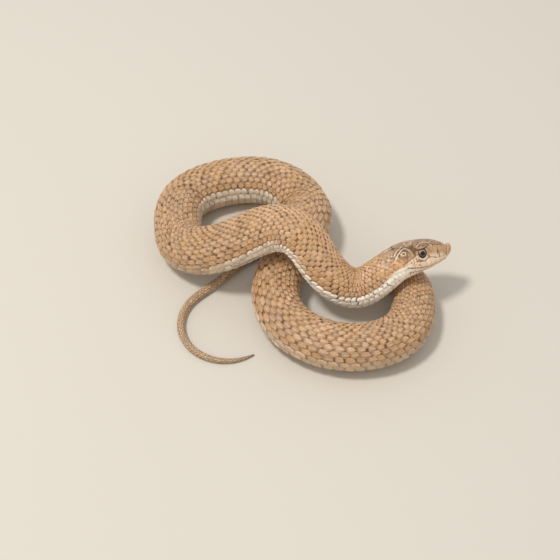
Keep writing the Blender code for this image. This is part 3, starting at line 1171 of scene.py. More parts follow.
@dataclass(frozen=True)
class HideFinish:
    """One of the finishes that share the animal's colours."""

    name: str
    roughness: float = 0.55
    specular: float = 0.35
    relief: float = 0.00006  # metres
    # seat, tip and side paint the gaps between scales dark: partly the darker skin there, partly
    # painted shade where the scales meet and overlap
    seat: float = 0.0  # how dark the seat of each scale is
    tip: float = 0.0  # how dark its tip is, as a share of the seat
    # keel: how pale its keel is, a painted highlight along the scale's ridge
    keel: float = 0.0  # how pale its keel is
    rim: float = 0.0  # how pale its free edge is
    core: float = 0.0  # how amber the middle of a flank scale is
    side: float = 0.0  # how dark its two sides are
    joint: float = 0.0  # how dark the joints between plates are

    def build(self, colours: Tree, horn: Tree, hues: Hues,
              lines: Tree | None = None) -> Material:
        """Make the material.

        Args:
            colours: The group of the animal's colours.
            horn: The group of fine grain.
            hues: The base colours.
            lines: The group of the head's thin lines, for the pieces that carry them.

        Returns:
            The material.
        """
        made = bpy.data.materials.new(self.name)
        made.use_nodes = True
        bench = Bench(made.node_tree)
        shader = made.node_tree.nodes["Principled BSDF"]
        base = bench.add("ShaderNodeGroup", node_tree=colours)
        bench.give(base.inputs["Mottle"], bench.read("tone"))
        bench.give(base.inputs["Shift"], bench.read("shift"))
        drawn = bench.add("ShaderNodeGroup", node_tree=lines) if lines else None
        for name in ("Dark", "Light"):
            share = bench.read(name.lower())
            if drawn:
                share = bench.math("MAXIMUM", share, drawn.outputs[name])
            bench.give(base.inputs[name], share)
        colour = base.outputs["Color"]
        pale = base.outputs["Pale"]
        across = bench.math("ABSOLUTE", bench.read("across"))
        back = bench.read("back")
        if self.core:
            round_it = bench.read("round")
            flank = bench.math("MULTIPLY", bench.fade(round_it, 42.0, 64.0),
                               bench.fade(round_it, 112.0, 96.0))
            core = bench.math("MULTIPLY", bench.fade(across, 0.7, 0.2), bench.fade(back, 0.4, 0.6))
            core = bench.math("MULTIPLY", core, bench.math("MULTIPLY", flank, bench.read("shift")))
            colour = bench.blend(bench.math("MULTIPLY", core, self.core), colour, hues.amber)
        # a painted highlight along the keel's ridge, in ivory
        if self.keel:
            ridge = bench.math("MULTIPLY", bench.fade(across, 0.3, 0.0),
                               bench.fade(back, 0.4, 0.7, 0.0, self.keel))
            colour = bench.blend(ridge, colour, hues.ivory)
        if self.rim:
            edge = bench.fade(bench.read("rim"), 0.5, 1.0, 0.0, self.rim)
            colour = bench.blend(edge, colour, hues.ivory)
        # painted shade in the gaps between scales, at each scale's seat, tip and sides, over the
        # darker skin there
        if self.seat:
            gloom = bench.blend(pale, hues.umber, hues.joint)
            seat = bench.math("MAXIMUM", bench.fade(back, 0.53, 0.35),
                              bench.fade(back, 0.88, 1.0, 0.0, self.tip))
            seat = bench.math("MAXIMUM", seat, bench.fade(across, 0.78, 1.0, 0.0, self.side))
            strength = bench.math("MULTIPLY", bench.read("gap"), self.seat)
            colour = bench.blend(bench.math("MULTIPLY", seat, strength), colour, gloom)
        if self.joint:
            seam = bench.fade(bench.read("rim"), 0.95, 0.985, 0.0, self.joint)
            colour = bench.blend(seam, colour, hues.umber)
        bench.give(shader.inputs["Base Color"], colour)
        grain = bench.add("ShaderNodeGroup", node_tree=horn)
        rough = bench.math("MULTIPLY_ADD", grain.outputs["Height"], 0.24, self.roughness - 0.12)
        bench.give(shader.inputs["Roughness"], rough)
        bump = bench.add("ShaderNodeBump", {
            "Height": grain.outputs["Height"], "Strength": 0.6, "Distance": self.relief})
        bench.give(shader.inputs["Normal"], bump.outputs[0])
        shader.inputs["Specular IOR Level"].default_value = self.specular
        return made


@dataclass(frozen=True)
class EyeFinish:
    """A wet eye: black round pupil, brown iris with a painted reflection of the sky on its upper
    part, dark rim.
    """

    pupil: float = 1.12
    iris: float = 1.8
    black: tuple = (0.004, 0.003, 0.003, 1.0)
    inner: tuple = (0.150, 0.098, 0.062, 1.0)
    outer: tuple = (0.085, 0.052, 0.030, 1.0)
    # upper: the paler top of the iris, a painted reflection of the sky
    upper: tuple = (0.400, 0.330, 0.280, 1.0)
    rim: tuple = (0.040, 0.023, 0.013, 1.0)
    thread_scale: float = 2400.0  # waves in a metre of the iris's threads
    roughness: float = 0.3
    specular: float = 0.15
    coat: float = 0.55
    coat_roughness: float = 0.03

    def build(self) -> Material:
        """Make the material.

        Returns:
            The material.
        """
        made = bpy.data.materials.new("wet_eye")
        made.use_nodes = True
        bench = Bench(made.node_tree)
        shader = made.node_tree.nodes["Principled BSDF"]
        reach = bench.read("reach")
        place = bench.add("ShaderNodeTexCoord").outputs["Object"]
        threads = bench.noise(place, self.thread_scale, 4.0)
        iris = bench.blend(bench.fade(threads, 0.3, 0.7), self.outer, self.inner)
        # painted reflection of the sky: the iris is painted paler towards its top
        iris = bench.blend(bench.fade(bench.read("over"), -0.5, 1.0, 0.0, 0.85), iris, self.upper)
        iris = bench.blend(bench.fade(reach, self.iris - 0.45, self.iris + 0.1), iris, self.rim)
        colour = bench.blend(
            bench.fade(reach, self.pupil + 0.08, self.pupil - 0.08), iris, self.black)
        bench.give(shader.inputs["Base Color"], colour)
        shader.inputs["Roughness"].default_value = self.roughness
        shader.inputs["Specular IOR Level"].default_value = self.specular
        shader.inputs["Coat Weight"].default_value = self.coat
        shader.inputs["Coat Roughness"].default_value = self.coat_roughness
        return made


# ---------------------------------------------------------------- the skin
@dataclass
class Skin:
    """The one skin from the snout to the tail tip, a little inside the scales' outer faces."""

    form: Form
    around: int = 144
    head_step: float = 0.4
    body_step: float = 2.0
    head_ends: float = 36.0
    tip_length: float = 3.0  # of the tail's finely stepped tip
    # (along, millimetres under the solids' surface, which is the scales' depth)
    depths: tuple = (
        (-1.3, 0.28), (22, 0.32), (32, 0.48), (80, 0.70), (160, 0.86), (420, 0.84), (470, 0.48),
        (520, 0.30), (640, 0.18), (651, 0.10),
    )

    def depth(self, along: Array) -> Array:
        """How far under the solids' surface the skin lies, in millimetres."""
        return straight_reading(self.depths, along)

    def stations(self) -> Array:
        """Distances of the skin's rings, close together on the head.

        Returns:
            Distances from the snout.
        """
        length = self.form.route.length
        snout = self.form.tip + np.array([0.0, 0.02, 0.08, 0.2, 0.4])
        head = np.arange(self.form.tip + 0.7, self.head_ends, self.head_step)
        body = np.arange(self.head_ends, length - self.tip_length, self.body_step)
        tail = np.linspace(length - self.tip_length, length, 5)
        return np.concatenate([snout, head, body, tail])

    def build(self, finish: Material, marks: Markings) -> Object:
        """Lay the skin out flat and wrap it round the route.

        Args:
            finish: Its material.
            marks: The animal's markings.

        Returns:
            The skin.
        """
        stations = self.stations()
        deselect_all()
        bpy.ops.mesh.primitive_grid_add(
            x_subdivisions=len(stations) - 1, y_subdivisions=self.around, size=2.0
        )
        skin = bpy.context.object
        flat = points_of(skin.data)
        column = np.rint((flat[:, 0] + 1.0) / 2.0 * (len(stations) - 1)).astype(int)
        along, angle = stations[column], -flat[:, 1] * math.pi
        turn = np.radians(straight_reading(ScaleRows.turns, along))
        wrapped = self.form.place(along, angle, -self.depth(along))
        skin.data.vertices.foreach_set("co", wrapped.ravel())
        marks.paint(skin.data, along, angle - turn, fine=True)
        store(skin.data, "tone", np.full(len(along), 0.0))
        store(skin.data, "gap", np.ones(len(along)))
        store(skin.data, "shift", np.full(len(along), 0.5))
        bpy.ops.object.mode_set(mode="EDIT")
        bpy.ops.mesh.select_all(action="SELECT")
        bpy.ops.mesh.remove_doubles(threshold=1e-6)
        bpy.ops.mesh.select_all(action="DESELECT")
        bpy.ops.mesh.select_mode(type="EDGE")
        bpy.ops.mesh.select_non_manifold()
        bpy.ops.mesh.fill_holes(sides=0)
        bpy.ops.mesh.select_mode(type="VERT")
        turn_outwards()
        skin.data.shade_smooth()
        skin.data.materials.append(finish)
        return adopt(skin, "skin")


# ---------------------------------------------------------------- scales
class Cut(Enum):
    """The shapes that scales are cut to."""

    KEELED = "keeled"
    SMOOTH = "smooth"
    SCUTE = "scute"


@dataclass
class ScaleRows:
    """How the rows of scales run: their number, their spacing, and where they begin and end."""

    # (along, number of rows over the back from one edge of the belly to the other)
    counts: tuple = (
        (18, 23), (31, 23), (50, 23), (100, 21), (140, 18), (165, 17), (400, 17), (430, 16),
        (443, 15), (470, 12), (503, 9), (560, 7.4), (651, 6),
    )
    # (along, degrees from the ridge to the edge of the belly scutes)
    spans: tuple = (
        (18, 150), (30, 142), (45, 140), (95, 134), (125, 120), (420, 118), (470, 122),
        (651, 124),
    )
    # (along, spacing down the body)
    pitches: tuple = (
        (18, 1.5), (26, 1.6), (34, 1.85), (50, 2.3), (70, 2.6), (90, 2.75), (110, 3.1),
        (130, 3.6), (160, 4.1), (200, 4.5), (250, 4.7), (330, 4.8), (370, 4.6), (390, 3.9),
        (410, 3.2), (440, 2.8), (503, 2.5), (600, 2.1), (651, 1.6),
    )
    # (along, degrees that the whole coat is turned round the body)
    turns: tuple = ((112, 0), (132, -13), (160, -22), (200, -18), (235, -12), (258, -2), (270, 0))
    # (along, share of the rows' growth towards the belly)
    growths: tuple = ((20, 0.28), (36, 0.42), (90, 0.42), (130, 0.28))
    growth_power: float = 2.6
    # (degrees from the ridge, along) of the rows' beginnings behind the head plates
    beginnings: tuple = (
        (0, 28.6), (10, 28.4), (22, 27.6), (33, 24.6), (40, 22.4), (55, 20.4), (84, 20.2),
        (90, 26.2), (100, 26.6), (118, 26.0), (126, 21.5), (150, 20.0),
    )
    first: float = 18.6
    last: float = 648.5
    most: int = 13  # rows on either side of the ridge

    def span(self, along: Array) -> Array:
        """Radians from the ridge to the belly scutes."""
        return np.radians(straight_reading(self.spans, along))

    def turn(self, along: Array) -> Array:
        """Radians that the coat is turned round the body."""
        return np.radians(straight_reading(self.turns, along))

    def side(self, along: Array, row: Array) -> Array:
        """Radians from the ridge to a row, which widen towards the belly.

        Args:
            along: Distances from the snout.
            row: Numbers of the rows, 0 on the ridge.

        Returns:
            One angle for each place.
        """
        share = row / (straight_reading(self.counts, along) / 2.0)
        growth = straight_reading(self.growths, along)
        grown = (1.0 - growth) * share
        grown = grown + growth * np.sign(share) * np.abs(share) ** self.growth_power
        return self.span(along) * grown

    def spacing(self, along: Array, row: Array) -> Array:
        """Radians from one row to the next."""
        return self.side(along, np.abs(row) + 0.5) - self.side(along, np.abs(row) - 0.5)

    def pitch(self, along: Array) -> Array:
        """Millimetres from one scale to the next in its row."""
        return straight_reading(self.pitches, along)

    def rings(self, start: float) -> list:
        """Distances of the scales in one row.

        Args:
            start: Where the row begins.

        Returns:
            Distances from the snout.
        """
        stations, at = [], start
        while at < self.last:
            stations.append(at)
            at += float(self.pitch(np.array([at]))[0])
        return stations

    def starts(self, degrees: float) -> float:
        """Where a row begins behind the head plates."""
        return float(straight_reading(self.beginnings, np.array([degrees]))[0])

    def roots(self) -> tuple:
        """Every scale's place.

        Returns:
            Distances, angles, and row numbers.
        """
        found = []
        whole = self.rings(self.first)
        half = [at + 0.5 * float(self.pitch(np.array([at]))[0]) for at in whole]
        for row in range(-self.most, self.most + 1):
            for at in whole if row % 2 == 0 else half:
                station = np.array([at])
                rows = float(straight_reading(self.counts, station)[0])
                angle = float(self.side(station, np.array([float(row)]))[0])
                if abs(row) > (rows - 1.0) / 2.0 + 0.35 or at > self.last:
                    continue
                if at < self.starts(abs(math.degrees(angle))):
                    continue
                found.append((at, angle, row))
        table = np.array(found)
        return table[:, 0], table[:, 1], table[:, 2]


# (widest place, power, curl and bluntness) of a scale's free edge
EDGES = {Cut.KEELED: (0.44, 1.6, 0.66, 0.06), Cut.SMOOTH: (0.5, 2.3, 0.5, 0.3)}


@dataclass
class Coat:
    """Makes joined pieces of overlapping scales."""

    form: Form
    skin: Skin
    rows: ScaleRows
    marks: Markings
    limit: int = 190000  # triangles in a piece
    patch: float = 0.003  # side of one scale's patch on the baking map
    map_margin: float = 4.0  # millimetres left free at both ends of the map
    thickness: float = 0.62  # of a scale, as a share of the coat's depth
    clearance: float = 0.07  # millimetres inside the round surface, as the solids' flats lie
    nape: float = 40.0  # where the scales that carry the head's lines end
    marked_ends: float = 44.0  # where a scale's markings no longer change within it
    bold: tuple = (68.0, 48.0)  # where the neck's bolder look fades, and over what length
    bold_light: float = 0.58
    bold_gap: float = 0.2
    calm: tuple = (25.0, 14.0)  # where the nape's flat scales give way, and over what length
    calm_least: float = 0.35
    uneven: float = 0.07  # how unevenly the free edges lift, as a share of the depth
    crowding: float = 1.35  # of the pattern's cells towards the free edge
    root: float = 0.60  # share of a scale that lies before its root's place
    lengths: tuple = (1.52, 0.26)  # of a back scale, in spacings, and how much more at the belly
    widths: tuple = (0.93, 0.08)  # and its half width
    loose: tuple = (0.07, 0.05, 0.06, 0.05)  # of length, width, and place down and round the body
    overlap: float = 1.45  # length of a scute, as a share of the spacing
    vent: float = 431.0
    tail_ends: float = 645.0
    # (first, spacing, last, spacing round the body in radians, length in millimetres)
    throat: tuple = (17.5, 2.1, 34.5, 0.155, 3.3)
    dice: np.random.Generator = field(default_factory=lambda: np.random.default_rng(SEED))

    def outline(self, cut: Cut, back: Array) -> Array:
        """Half width of a scale, as a share, from its front to its free edge.

        Args:
            cut: The scale's shape.
            back: Shares of its length, from its front.

        Returns:
            One half width for each share.
        """
        if cut is Cut.SCUTE:
            return 1.0 - 0.03 * ease((back - 0.8) / 0.2)
        widest, power, curl, blunt = EDGES[cut]
        front = 0.5 + 0.5 * ease(back / widest)
        rear = np.clip(1.0 - ((back - widest) / (1.0 - widest)) ** power, 0.0, 1.0) ** curl
        return np.where(back < widest, front, blunt + (1.0 - blunt) * rear)

    def climb(self, cut: Cut, back: Array, edge: Array, calm: Array, lift: Array) -> Array:
        """How high the top of a scale stands in the coat.

        Args:
            cut: The scale's shape.
            back: Shares of its length, from its front.
            edge: Shares of its half width, from its middle.
            calm: How strongly each scale is shaped.
            lift: How much more or less its free edge stands off.

        Returns:
            Shares of the coat's depth, 1 at the solids' surface.
        """
        if cut is Cut.SCUTE:
            return 0.25 + 0.62 * back - 0.10 * ease((edge - 0.9) / 0.1)
        rise = 0.06 + 0.84 * back**0.9
        if cut is Cut.KEELED:
            keel = bell(edge, 0.17) * ease((back - 0.12) / 0.3)
            rise = rise - 0.14 - 0.10 * ease((back - 0.88) / 0.12)
            rise = rise + calm * (0.24 * keel - 0.58 * edge**1.7)
        else:
            rise = rise - 0.26 * edge**2.4
        return np.minimum(rise + lift * back, 0.98)

    def lay(self, name: str, finish: Material, pattern: Pattern, cut: Cut,
            roots: tuple, sizes: tuple) -> list:
        """Lay copies of one scale over the skin.

        Args:
            name: Start of the pieces' names.
            finish: Their material.
            pattern: The scale, flat.
            cut: The shape to give it.
            roots: Distances and angles of the scales' middles.
            sizes: Their lengths in millimetres, and half widths in radians.

        Returns:
            The finished pieces.
        """
        along0, angle0 = roots
        lengths, halves = sizes
        count = len(along0)
        tone, shift = self.dice.random(count), self.dice.random(count)
        bold = 1.0 - ease((along0 - self.bold[0]) / self.bold[1])
        tone = tone + self.bold_light * bold
        grown = ease((along0 - self.calm[0]) / self.calm[1])
        calm = self.calm_least + (1.0 - self.calm_least) * grown
        # how strongly each scale's gaps are painted dark: partly darker skin, partly painted shade
        gap = calm * (0.4 + 0.6 * self.dice.random(count)) * (1.0 + self.bold_gap * bold)
        lift = self.uneven * calm * self.dice.normal(size=count)
        turn = self.rows.turn(along0)[:, None]
        back, across, top = pattern.points.T
        if cut is not Cut.SCUTE:
            back = 1.0 - (1.0 - back) ** self.crowding
        width = self.outline(cut, back)
        along = along0[:, None] + (back - self.root)[None, :] * lengths[:, None]
        angle = angle0[:, None] - (across * width)[None, :] * halves[:, None]
        depth = self.skin.depth(along0)[:, None]
        climb = self.climb(cut, back, np.abs(across), calm[:, None], lift[:, None])
        height = (climb - (1.0 - top) * self.thickness) * depth - depth - self.clearance
        places = self.form.place(
            np.clip(along, self.form.tip, self.form.route.length), angle + turn, height)
        sides = np.abs(across) ** 3 * ease((back - 0.3) / 0.3)
        rim = np.maximum(ease((back - 0.72) / 0.28), sides)
        per_piece = max(1, self.limit // sum(len(face) - 2 for face in pattern.faces))
        parts = math.ceil(count / per_piece)
        order = np.argsort(along0, kind="stable")
        pieces = []
        for number, chosen in enumerate(np.array_split(order, parts)):
            piece = pattern.joined(name, places[chosen])
            mesh = piece.data
            shape = (len(chosen), len(back))
            root_along = np.broadcast_to(along0[chosen, None], shape)
            root_angle = np.broadcast_to(angle0[chosen, None], shape)
            near_head = (root_along < self.marked_ends) | (cut is Cut.SCUTE)
            self.marks.paint(
                mesh,
                np.where(near_head, along[chosen], root_along).ravel(),
                np.where(near_head, angle[chosen], root_angle).ravel(),
            )
            for key, values in (("back", back), ("across", across), ("rim", rim)):
                store(mesh, key, np.broadcast_to(values, shape))
            for key, values in (("tone", tone), ("shift", shift), ("gap", gap)):
                store(mesh, key, np.broadcast_to(values[chosen, None], shape))
            self.bake_map(mesh, root_along, root_angle + turn[chosen], back, across)
            mesh.shade_smooth()
            mesh.set_sharp_from_angle(angle=math.radians(50.0))
            mesh.materials.append(finish)
            label = name if parts == 1 else f"{name}_{number + 1}"
            pieces.append(adopt(piece, label))
        return pieces

    def bake_map(self, mesh: Mesh, along: Array, angle: Array, back: Array,
                 across: Array) -> None:
        """Give each scale a small patch at its root's place on the unrolled skin.

        Args:
            mesh: The scales.
            along: Distances of their roots.
            angle: Angles of their roots.
            back: Shares of their length, from their fronts.
            across: Shares of their half width, from their middles.
        """
        length = self.form.route.length + 2.0 * self.map_margin
        u = (along + self.map_margin) / length + (back - 0.5) * self.patch
        turned = (angle + math.pi) % (2.0 * math.pi)
        v = 0.01 + 0.98 * turned / (2.0 * math.pi) + across * self.patch / 2.0
        bake_layer(mesh, u, v)

    def back_scales(self, keeled: Material, lined: Material) -> list:
        """The keeled scales over the back and flanks, from the nape to the tail tip.

        Args:
            keeled: The finish of the body's scales.
            lined: The finish of those that carry the head's lines.

        Returns:
            The finished pieces.
        """
        along, angle, row = self.rows.roots()
        pitch, spacing = self.rows.pitch(along), self.rows.spacing(along, row)
        edge = np.abs(angle) / self.rows.span(along)
        loose = self.dice.normal(size=(4, len(along)))
        longer, wider, down, round_it = (share * part for share, part in zip(self.loose, loose))
        lengths = pitch * (self.lengths[0] + self.lengths[1] * edge**3) * (1.0 + longer)
        halves = spacing * (self.widths[0] + self.widths[1] * edge**3) * (1.0 + wider)
        at = along + pitch * down
        turned = angle + spacing * round_it
        pieces = []
        for name, finish, chosen in (
            ("nape_scales", lined, along < self.nape), ("back_scales", keeled, along >= self.nape),
        ):
            pieces += self.lay(
                name, finish, tile_pattern(5, 6), Cut.KEELED,
                (at[chosen], turned[chosen]), (lengths[chosen], halves[chosen]))
        return pieces

    def belly_scutes(self, smooth: Material) -> list:
        """The broad scutes under the body, one for each ring as far as the vent.

        Args:
            smooth: The scutes' finish.

        Returns:
            The finished pieces.
        """
        stations = np.array([at for at in self.rows.rings(33.0) if at < self.vent])
        half = math.pi - self.rows.span(stations) + math.radians(5.0)
        pitch = self.rows.pitch(stations)
        return self.lay("belly_scutes", smooth, tile_pattern(3, 14), Cut.SCUTE,
                        (stations, np.full(len(stations), math.pi)),
                        (self.overlap * pitch, half))

    def tail_scutes(self, smooth: Material) -> list:
        """The paired scutes under the tail.

        Args:
            smooth: The scutes' finish.

        Returns:
            The finished pieces.
        """
        whole = self.rows.rings(self.vent + 1.5)
        stations = np.array([at for at in whole if at < self.tail_ends])
        half = (math.pi - self.rows.span(stations)) / 2.0 + math.radians(3.5)
        pitch = self.rows.pitch(stations)
        along = np.concatenate([stations, stations + pitch / 2.0])
        half = np.concatenate([half, half])
        side = np.concatenate([np.ones(len(stations)), -np.ones(len(stations))])
        angle = side * (math.pi - half * 0.98)
        return self.lay("tail_scutes", smooth, tile_pattern(3, 5), Cut.SMOOTH,
                        (along, angle), (1.6 * np.concatenate([pitch, pitch]), half * 1.06))

    def throat_scales(self, smooth: Material) -> list:
        """Small smooth scales between the chin shields and the first scutes.

        Args:
            smooth: The scales' finish.

        Returns:
            The finished pieces.
        """
        first, pitch, last, spacing, length = self.throat
        found = []
        for row in range(-4, 5):
            for step in range(9):
                at = first + pitch * (step + (0.5 if row % 2 else 0.0))
                if at <= last - 0.3 * abs(row):
                    found.append((at, math.pi - row * spacing))
        table = np.array(found)
        sizes = np.full(len(table), length), np.full(len(table), spacing)
        return self.lay("throat_scales", smooth, tile_pattern(4, 4), Cut.SMOOTH,
                        (table[:, 0], table[:, 1]), sizes)


# ---------------------------------------------------------------- head plates
@dataclass
class HeadPlates:
    """The large plates of the head, drawn as outlines of (along, degrees from the ridge)."""

    form: Form
    skin: Skin
    marks: Markings
    spokes: int = 40
    rings: tuple = (1.0, 0.95, 0.86, 0.7, 0.5, 0.25)
    insets: tuple = (0.03, 0.07, 0.26)  # millimetres inside the outline, for the outer rings
    inset_shares: tuple = (0.03, 0.06, 0.16)  # and the most that they are of a small plate
    dome: float = 0.05  # height of a plate's middle
    front_dome: float = 0.03  # and of the front plate of the jaw
    sunk: float = 0.02  # how far a plate lies in, inside its rim
    bevel: float = 0.16  # how far its second ring lies in
    root: float = 0.15  # how far its outline reaches under the skin
    patch: float = 0.009  # side of one plate's patch on the baking map
    map_margin: float = 4.0
    map_length: float = 40.0  # millimetres of head that the map is laid out for
    middle: tuple = (
        ("frontal", ((9.9, 0), (10.9, 20.8), (13.6, 17.5), (16.8, 13.3), (19.6, 0),
                     (16.8, -13.3), (13.6, -17.5), (10.9, -20.8))),
    )
    paired: tuple = (
        ("internasal", ((1.7, 0), (1.2, 34), (1.7, 48), (4.2, 47), (6.0, 33), (6.2, 0))),
        ("prefrontal", ((6.2, 0), (6.0, 33), (5.2, 48), (7.2, 47.5), (10.8, 41.3), (10.9, 20.8),
                        (9.9, 0))),
        ("supraocular", ((10.9, 20.8), (10.8, 41.3), (12.6, 50), (14.4, 54), (16.4, 55),
                         (18.2, 53), (19.4, 43), (19.6, 31), (18.6, 17.4), (16.8, 13.3),
                         (13.6, 17.5))),
        ("parietal", ((19.6, 0), (16.8, 13.3), (18.6, 17.4), (19.6, 31), (21.6, 36), (24.0, 33),
                      (26.4, 26), (28.2, 11), (27.6, 0))),
        ("front_nasal", ((1.9, 60), (1.7, 48), (4.2, 47), (6.6, 48), (7.6, 73), (6.95, 79),
                         (6.95, 88), (7.4, 95), (4.6, 103), (3.2, 98), (2.5, 80))),
        ("rear_nasal", ((6.6, 48), (9.4, 47), (10.0, 60), (9.6, 90), (7.4, 95), (8.6, 89),
                        (8.75, 83), (8.6, 77), (7.6, 73))),
        ("loreal", ((9.4, 47), (10.8, 41.3), (12.6, 50), (12.9, 62), (12.6, 85), (9.6, 90),
                    (10.0, 60))),
    )
    lip_stations: tuple = (3.2, 5.0, 7.4, 10.0, 12.8, 15.6, 18.6, 22.0, 26.6)
    lip_tops: tuple = (
        (2.4, 101), (4.4, 103), (6.9, 97), (9.6, 90), (12.4, 85.5), (15.6, 87.5), (18.6, 87),
        (22.0, 84.5), (26.6, 86),
    )
    jaw_stations: tuple = (4.6, 6.8, 9.4, 12.2, 15.2, 18.4, 21.8, 25.8)
    jaw_depth: float = 15.0  # degrees from the mouth to the lower edge of the jaw's lip plates
    # of the plates round the eye: their joints, in degrees from the top, and their outer reach
    ocular_cuts: tuple = (50.0, 88.0, 122.0, 166.0, 204.0, 238.0, 262.0, 310.0)
    ocular_reaches: tuple = (3.8, 4.1, 3.4, 3.2, 3.4, 3.7, 4.1)
    front_chin: tuple = ((5.2, 178.5), (5.2, 152), (7.4, 148), (11.8, 146), (12.2, 178.5))
    rear_chin: tuple = ((12.4, 178.5), (12.0, 146), (14.6, 141), (17.6, 140), (18.4, 158),
                        (17.4, 178))
    front_jaw: tuple = ((2.7, 180), (2.9, 160), (3.8, 150), (5.0, 152), (5.0, 180), (5.0, 208),
                        (3.8, 210), (2.9, 200))
    # (degrees from the ridge, along) of the snout shield's edge
    snout_edge: tuple = ((0, 1.6), (34, 1.1), (60, 1.75), (80, 2.35), (98, 3.0), (112, 3.0),
                         (140, 2.2), (158, 1.3), (180, 1.2))
    nostril_radius: float = 0.72
    # (share of that radius, height)
    nostril_profile: tuple = ((0, 0.0), (0.25, 0.0), (0.5, -0.1), (0.7, 0.02), (0.86, -0.02),
                              (1.0, -0.4))

    def sampled(self, outline: tuple) -> tuple:
        """Points spread evenly round an outline, and its middle.

        Args:
            outline: Corners as (along, degrees).

        Returns:
            The points and their middle, in millimetres along and round the head, and the
            millimetres that each radian round it stands for.
        """
        corners = np.array(outline, float)
        corners[:, 1] = np.radians(corners[:, 1])
        girth = float(self.form.girth(np.array([corners[:, 0].mean()]))[0])
        flat = corners * np.array([1.0, girth])
        closed = np.vstack([flat, flat[:1]])
        steps = np.linalg.norm(np.diff(closed, axis=0), axis=1)
        reached = np.concatenate([[0.0], np.cumsum(steps)])
        stops = np.linspace(0.0, reached[-1], self.spokes, endpoint=False)
        edge = np.stack([np.interp(stops, reached, closed[:, k]) for k in range(2)], axis=1)
        soft = 0.5 * edge + 0.25 * (np.roll(edge, 1, axis=0) + np.roll(edge, -1, axis=0))
        area = np.cross(flat, np.roll(flat, -1, axis=0)).sum()
        if area > 0.0:
            soft = soft[::-1]
        return soft, soft.mean(axis=0), girth

    def web(self, pattern: Pattern, outline: tuple, dome: float) -> tuple:
        """Stretch the disc over an outline.

        Args:
            pattern: The disc of spokes and rings.
            outline: Corners as (along, degrees).
            dome: Height of the middle over the rim.

        Returns:
            Distance, angle, height and share from the middle of every point.
        """
        edge, middle, girth = self.sampled(outline)
        radius = np.hypot(pattern.points[:, 0], pattern.points[:, 1])
        turn = np.arctan2(pattern.points[:, 1], pattern.points[:, 0]) / (2.0 * math.pi)
        spoke = np.rint(turn * self.spokes).astype(int) % self.spokes
        rim = edge[spoke]
        reach = np.linalg.norm(rim - middle, axis=1)
        share = radius.copy()
        for ring, inset, most in zip(self.rings, self.insets, self.inset_shares):
            at = np.isclose(radius, ring, atol=0.01)
            share[at] = 1.0 - np.minimum(inset / reach[at], most)
        point = middle + (rim - middle) * share[:, None]
        depth = self.skin.depth(point[:, 0])
        height = dome * (1.0 - share**2)
        height = np.where(np.isclose(radius, self.rings[0], atol=0.01), -depth - self.root, height)
        height = np.where(np.isclose(radius, self.rings[1], atol=0.01), -self.bevel, height)
        height = np.where(radius < self.rings[1] - 0.01, height - self.sunk, height)
        return point[:, 0], point[:, 1] / girth, height, share

    def eye_ring(self) -> list:
        """The small plates round each eye, below the brow.

        Returns:
            Names and outlines.
        """
        eye = self.form.eye
        girth = float(self.form.girth(np.array([eye.along]))[0])
        cuts = np.radians(self.ocular_cuts)
        rings = []
        for number, (start, end, outer) in enumerate(zip(cuts, cuts[1:], self.ocular_reaches)):
            sweep = np.linspace(start, end, 5)
            inner = eye.opening + 0.05
            points = [(inner, turn) for turn in sweep] + [(outer, turn) for turn in sweep[::-1]]
            outline = tuple(
                (eye.along + reach * math.sin(turn),
                 eye.chart_angle - math.degrees(reach * math.cos(turn) / girth / eye.steepness))
                for reach, turn in points
            )
            rings.append((f"ocular_{number}", outline))
        return rings

    def lips(self) -> list:
        """The plates of the upper and the lower lip.

        Returns:
            Names and outlines.
        """
        plates = []
        for number, (start, end) in enumerate(zip(self.lip_stations, self.lip_stations[1:])):
            low = straight_reading(self.form.mouth, np.array([start, end])) - 2.2
            high = straight_reading(self.lip_tops, np.array([start, end]))
            plates.append((f"upper_lip_{number}", (
                (start, high[0]), (end, high[1]), (end, low[1]), (start, low[0]))))
        for number, (start, end) in enumerate(zip(self.jaw_stations, self.jaw_stations[1:])):
            high = straight_reading(self.form.mouth, np.array([start, end])) + 2.4
            low = high + self.jaw_depth
            plates.append((f"lower_lip_{number}", (
                (start, high[0]), (end, high[1]), (end + 0.5, low[1]), (start + 0.5, low[0]))))
        return plates

    def chin(self) -> list:
        """The paired chin shields."""
        return [("front_chin", self.front_chin), ("rear_chin", self.rear_chin)]

    def build(self, crown: Material, lips: Material) -> list:
        """Make all plates, joined into those of the skull and those of the lower jaw.

        Args:
            crown: The finish of the skull's plates.
            lips: The finish of the jaw's plates.

        Returns:
            Two pieces.
        """
        pattern = disc_pattern(self.spokes, self.rings)
        dice = np.random.default_rng(SEED + 1)
        above, below = list(self.middle), []
        for name, outline in (*self.paired, *self.eye_ring(), *self.lips(), *self.chin()):
            flipped = tuple((along, -degrees) for along, degrees in outline)
            target = below if name.startswith(("lower", "front_chin", "rear_chin")) else above
            target += [(name + "_left", outline), (name + "_right", flipped)]
        pieces = []
        for label, slot, plates, finish in (
            ("head_plates", "head_scales", above, crown),
            ("jaw_plates", "jaw_scales", below, lips),
        ):
            webs = [self.web(pattern, outline, self.dome) for _, outline in plates]
            if label == "head_plates":
                webs.append(self.snout_shield(pattern))
                webs += [self.nostril(pattern, side) for side in (1.0, -1.0)]
            else:
                webs.append(self.mental(pattern))
            along, angle, height, share = (np.array(part) for part in zip(*webs))
            pieces.append(self.finish(
                label, slot, finish, pattern, (along, angle, height, share), dice))
        return pieces

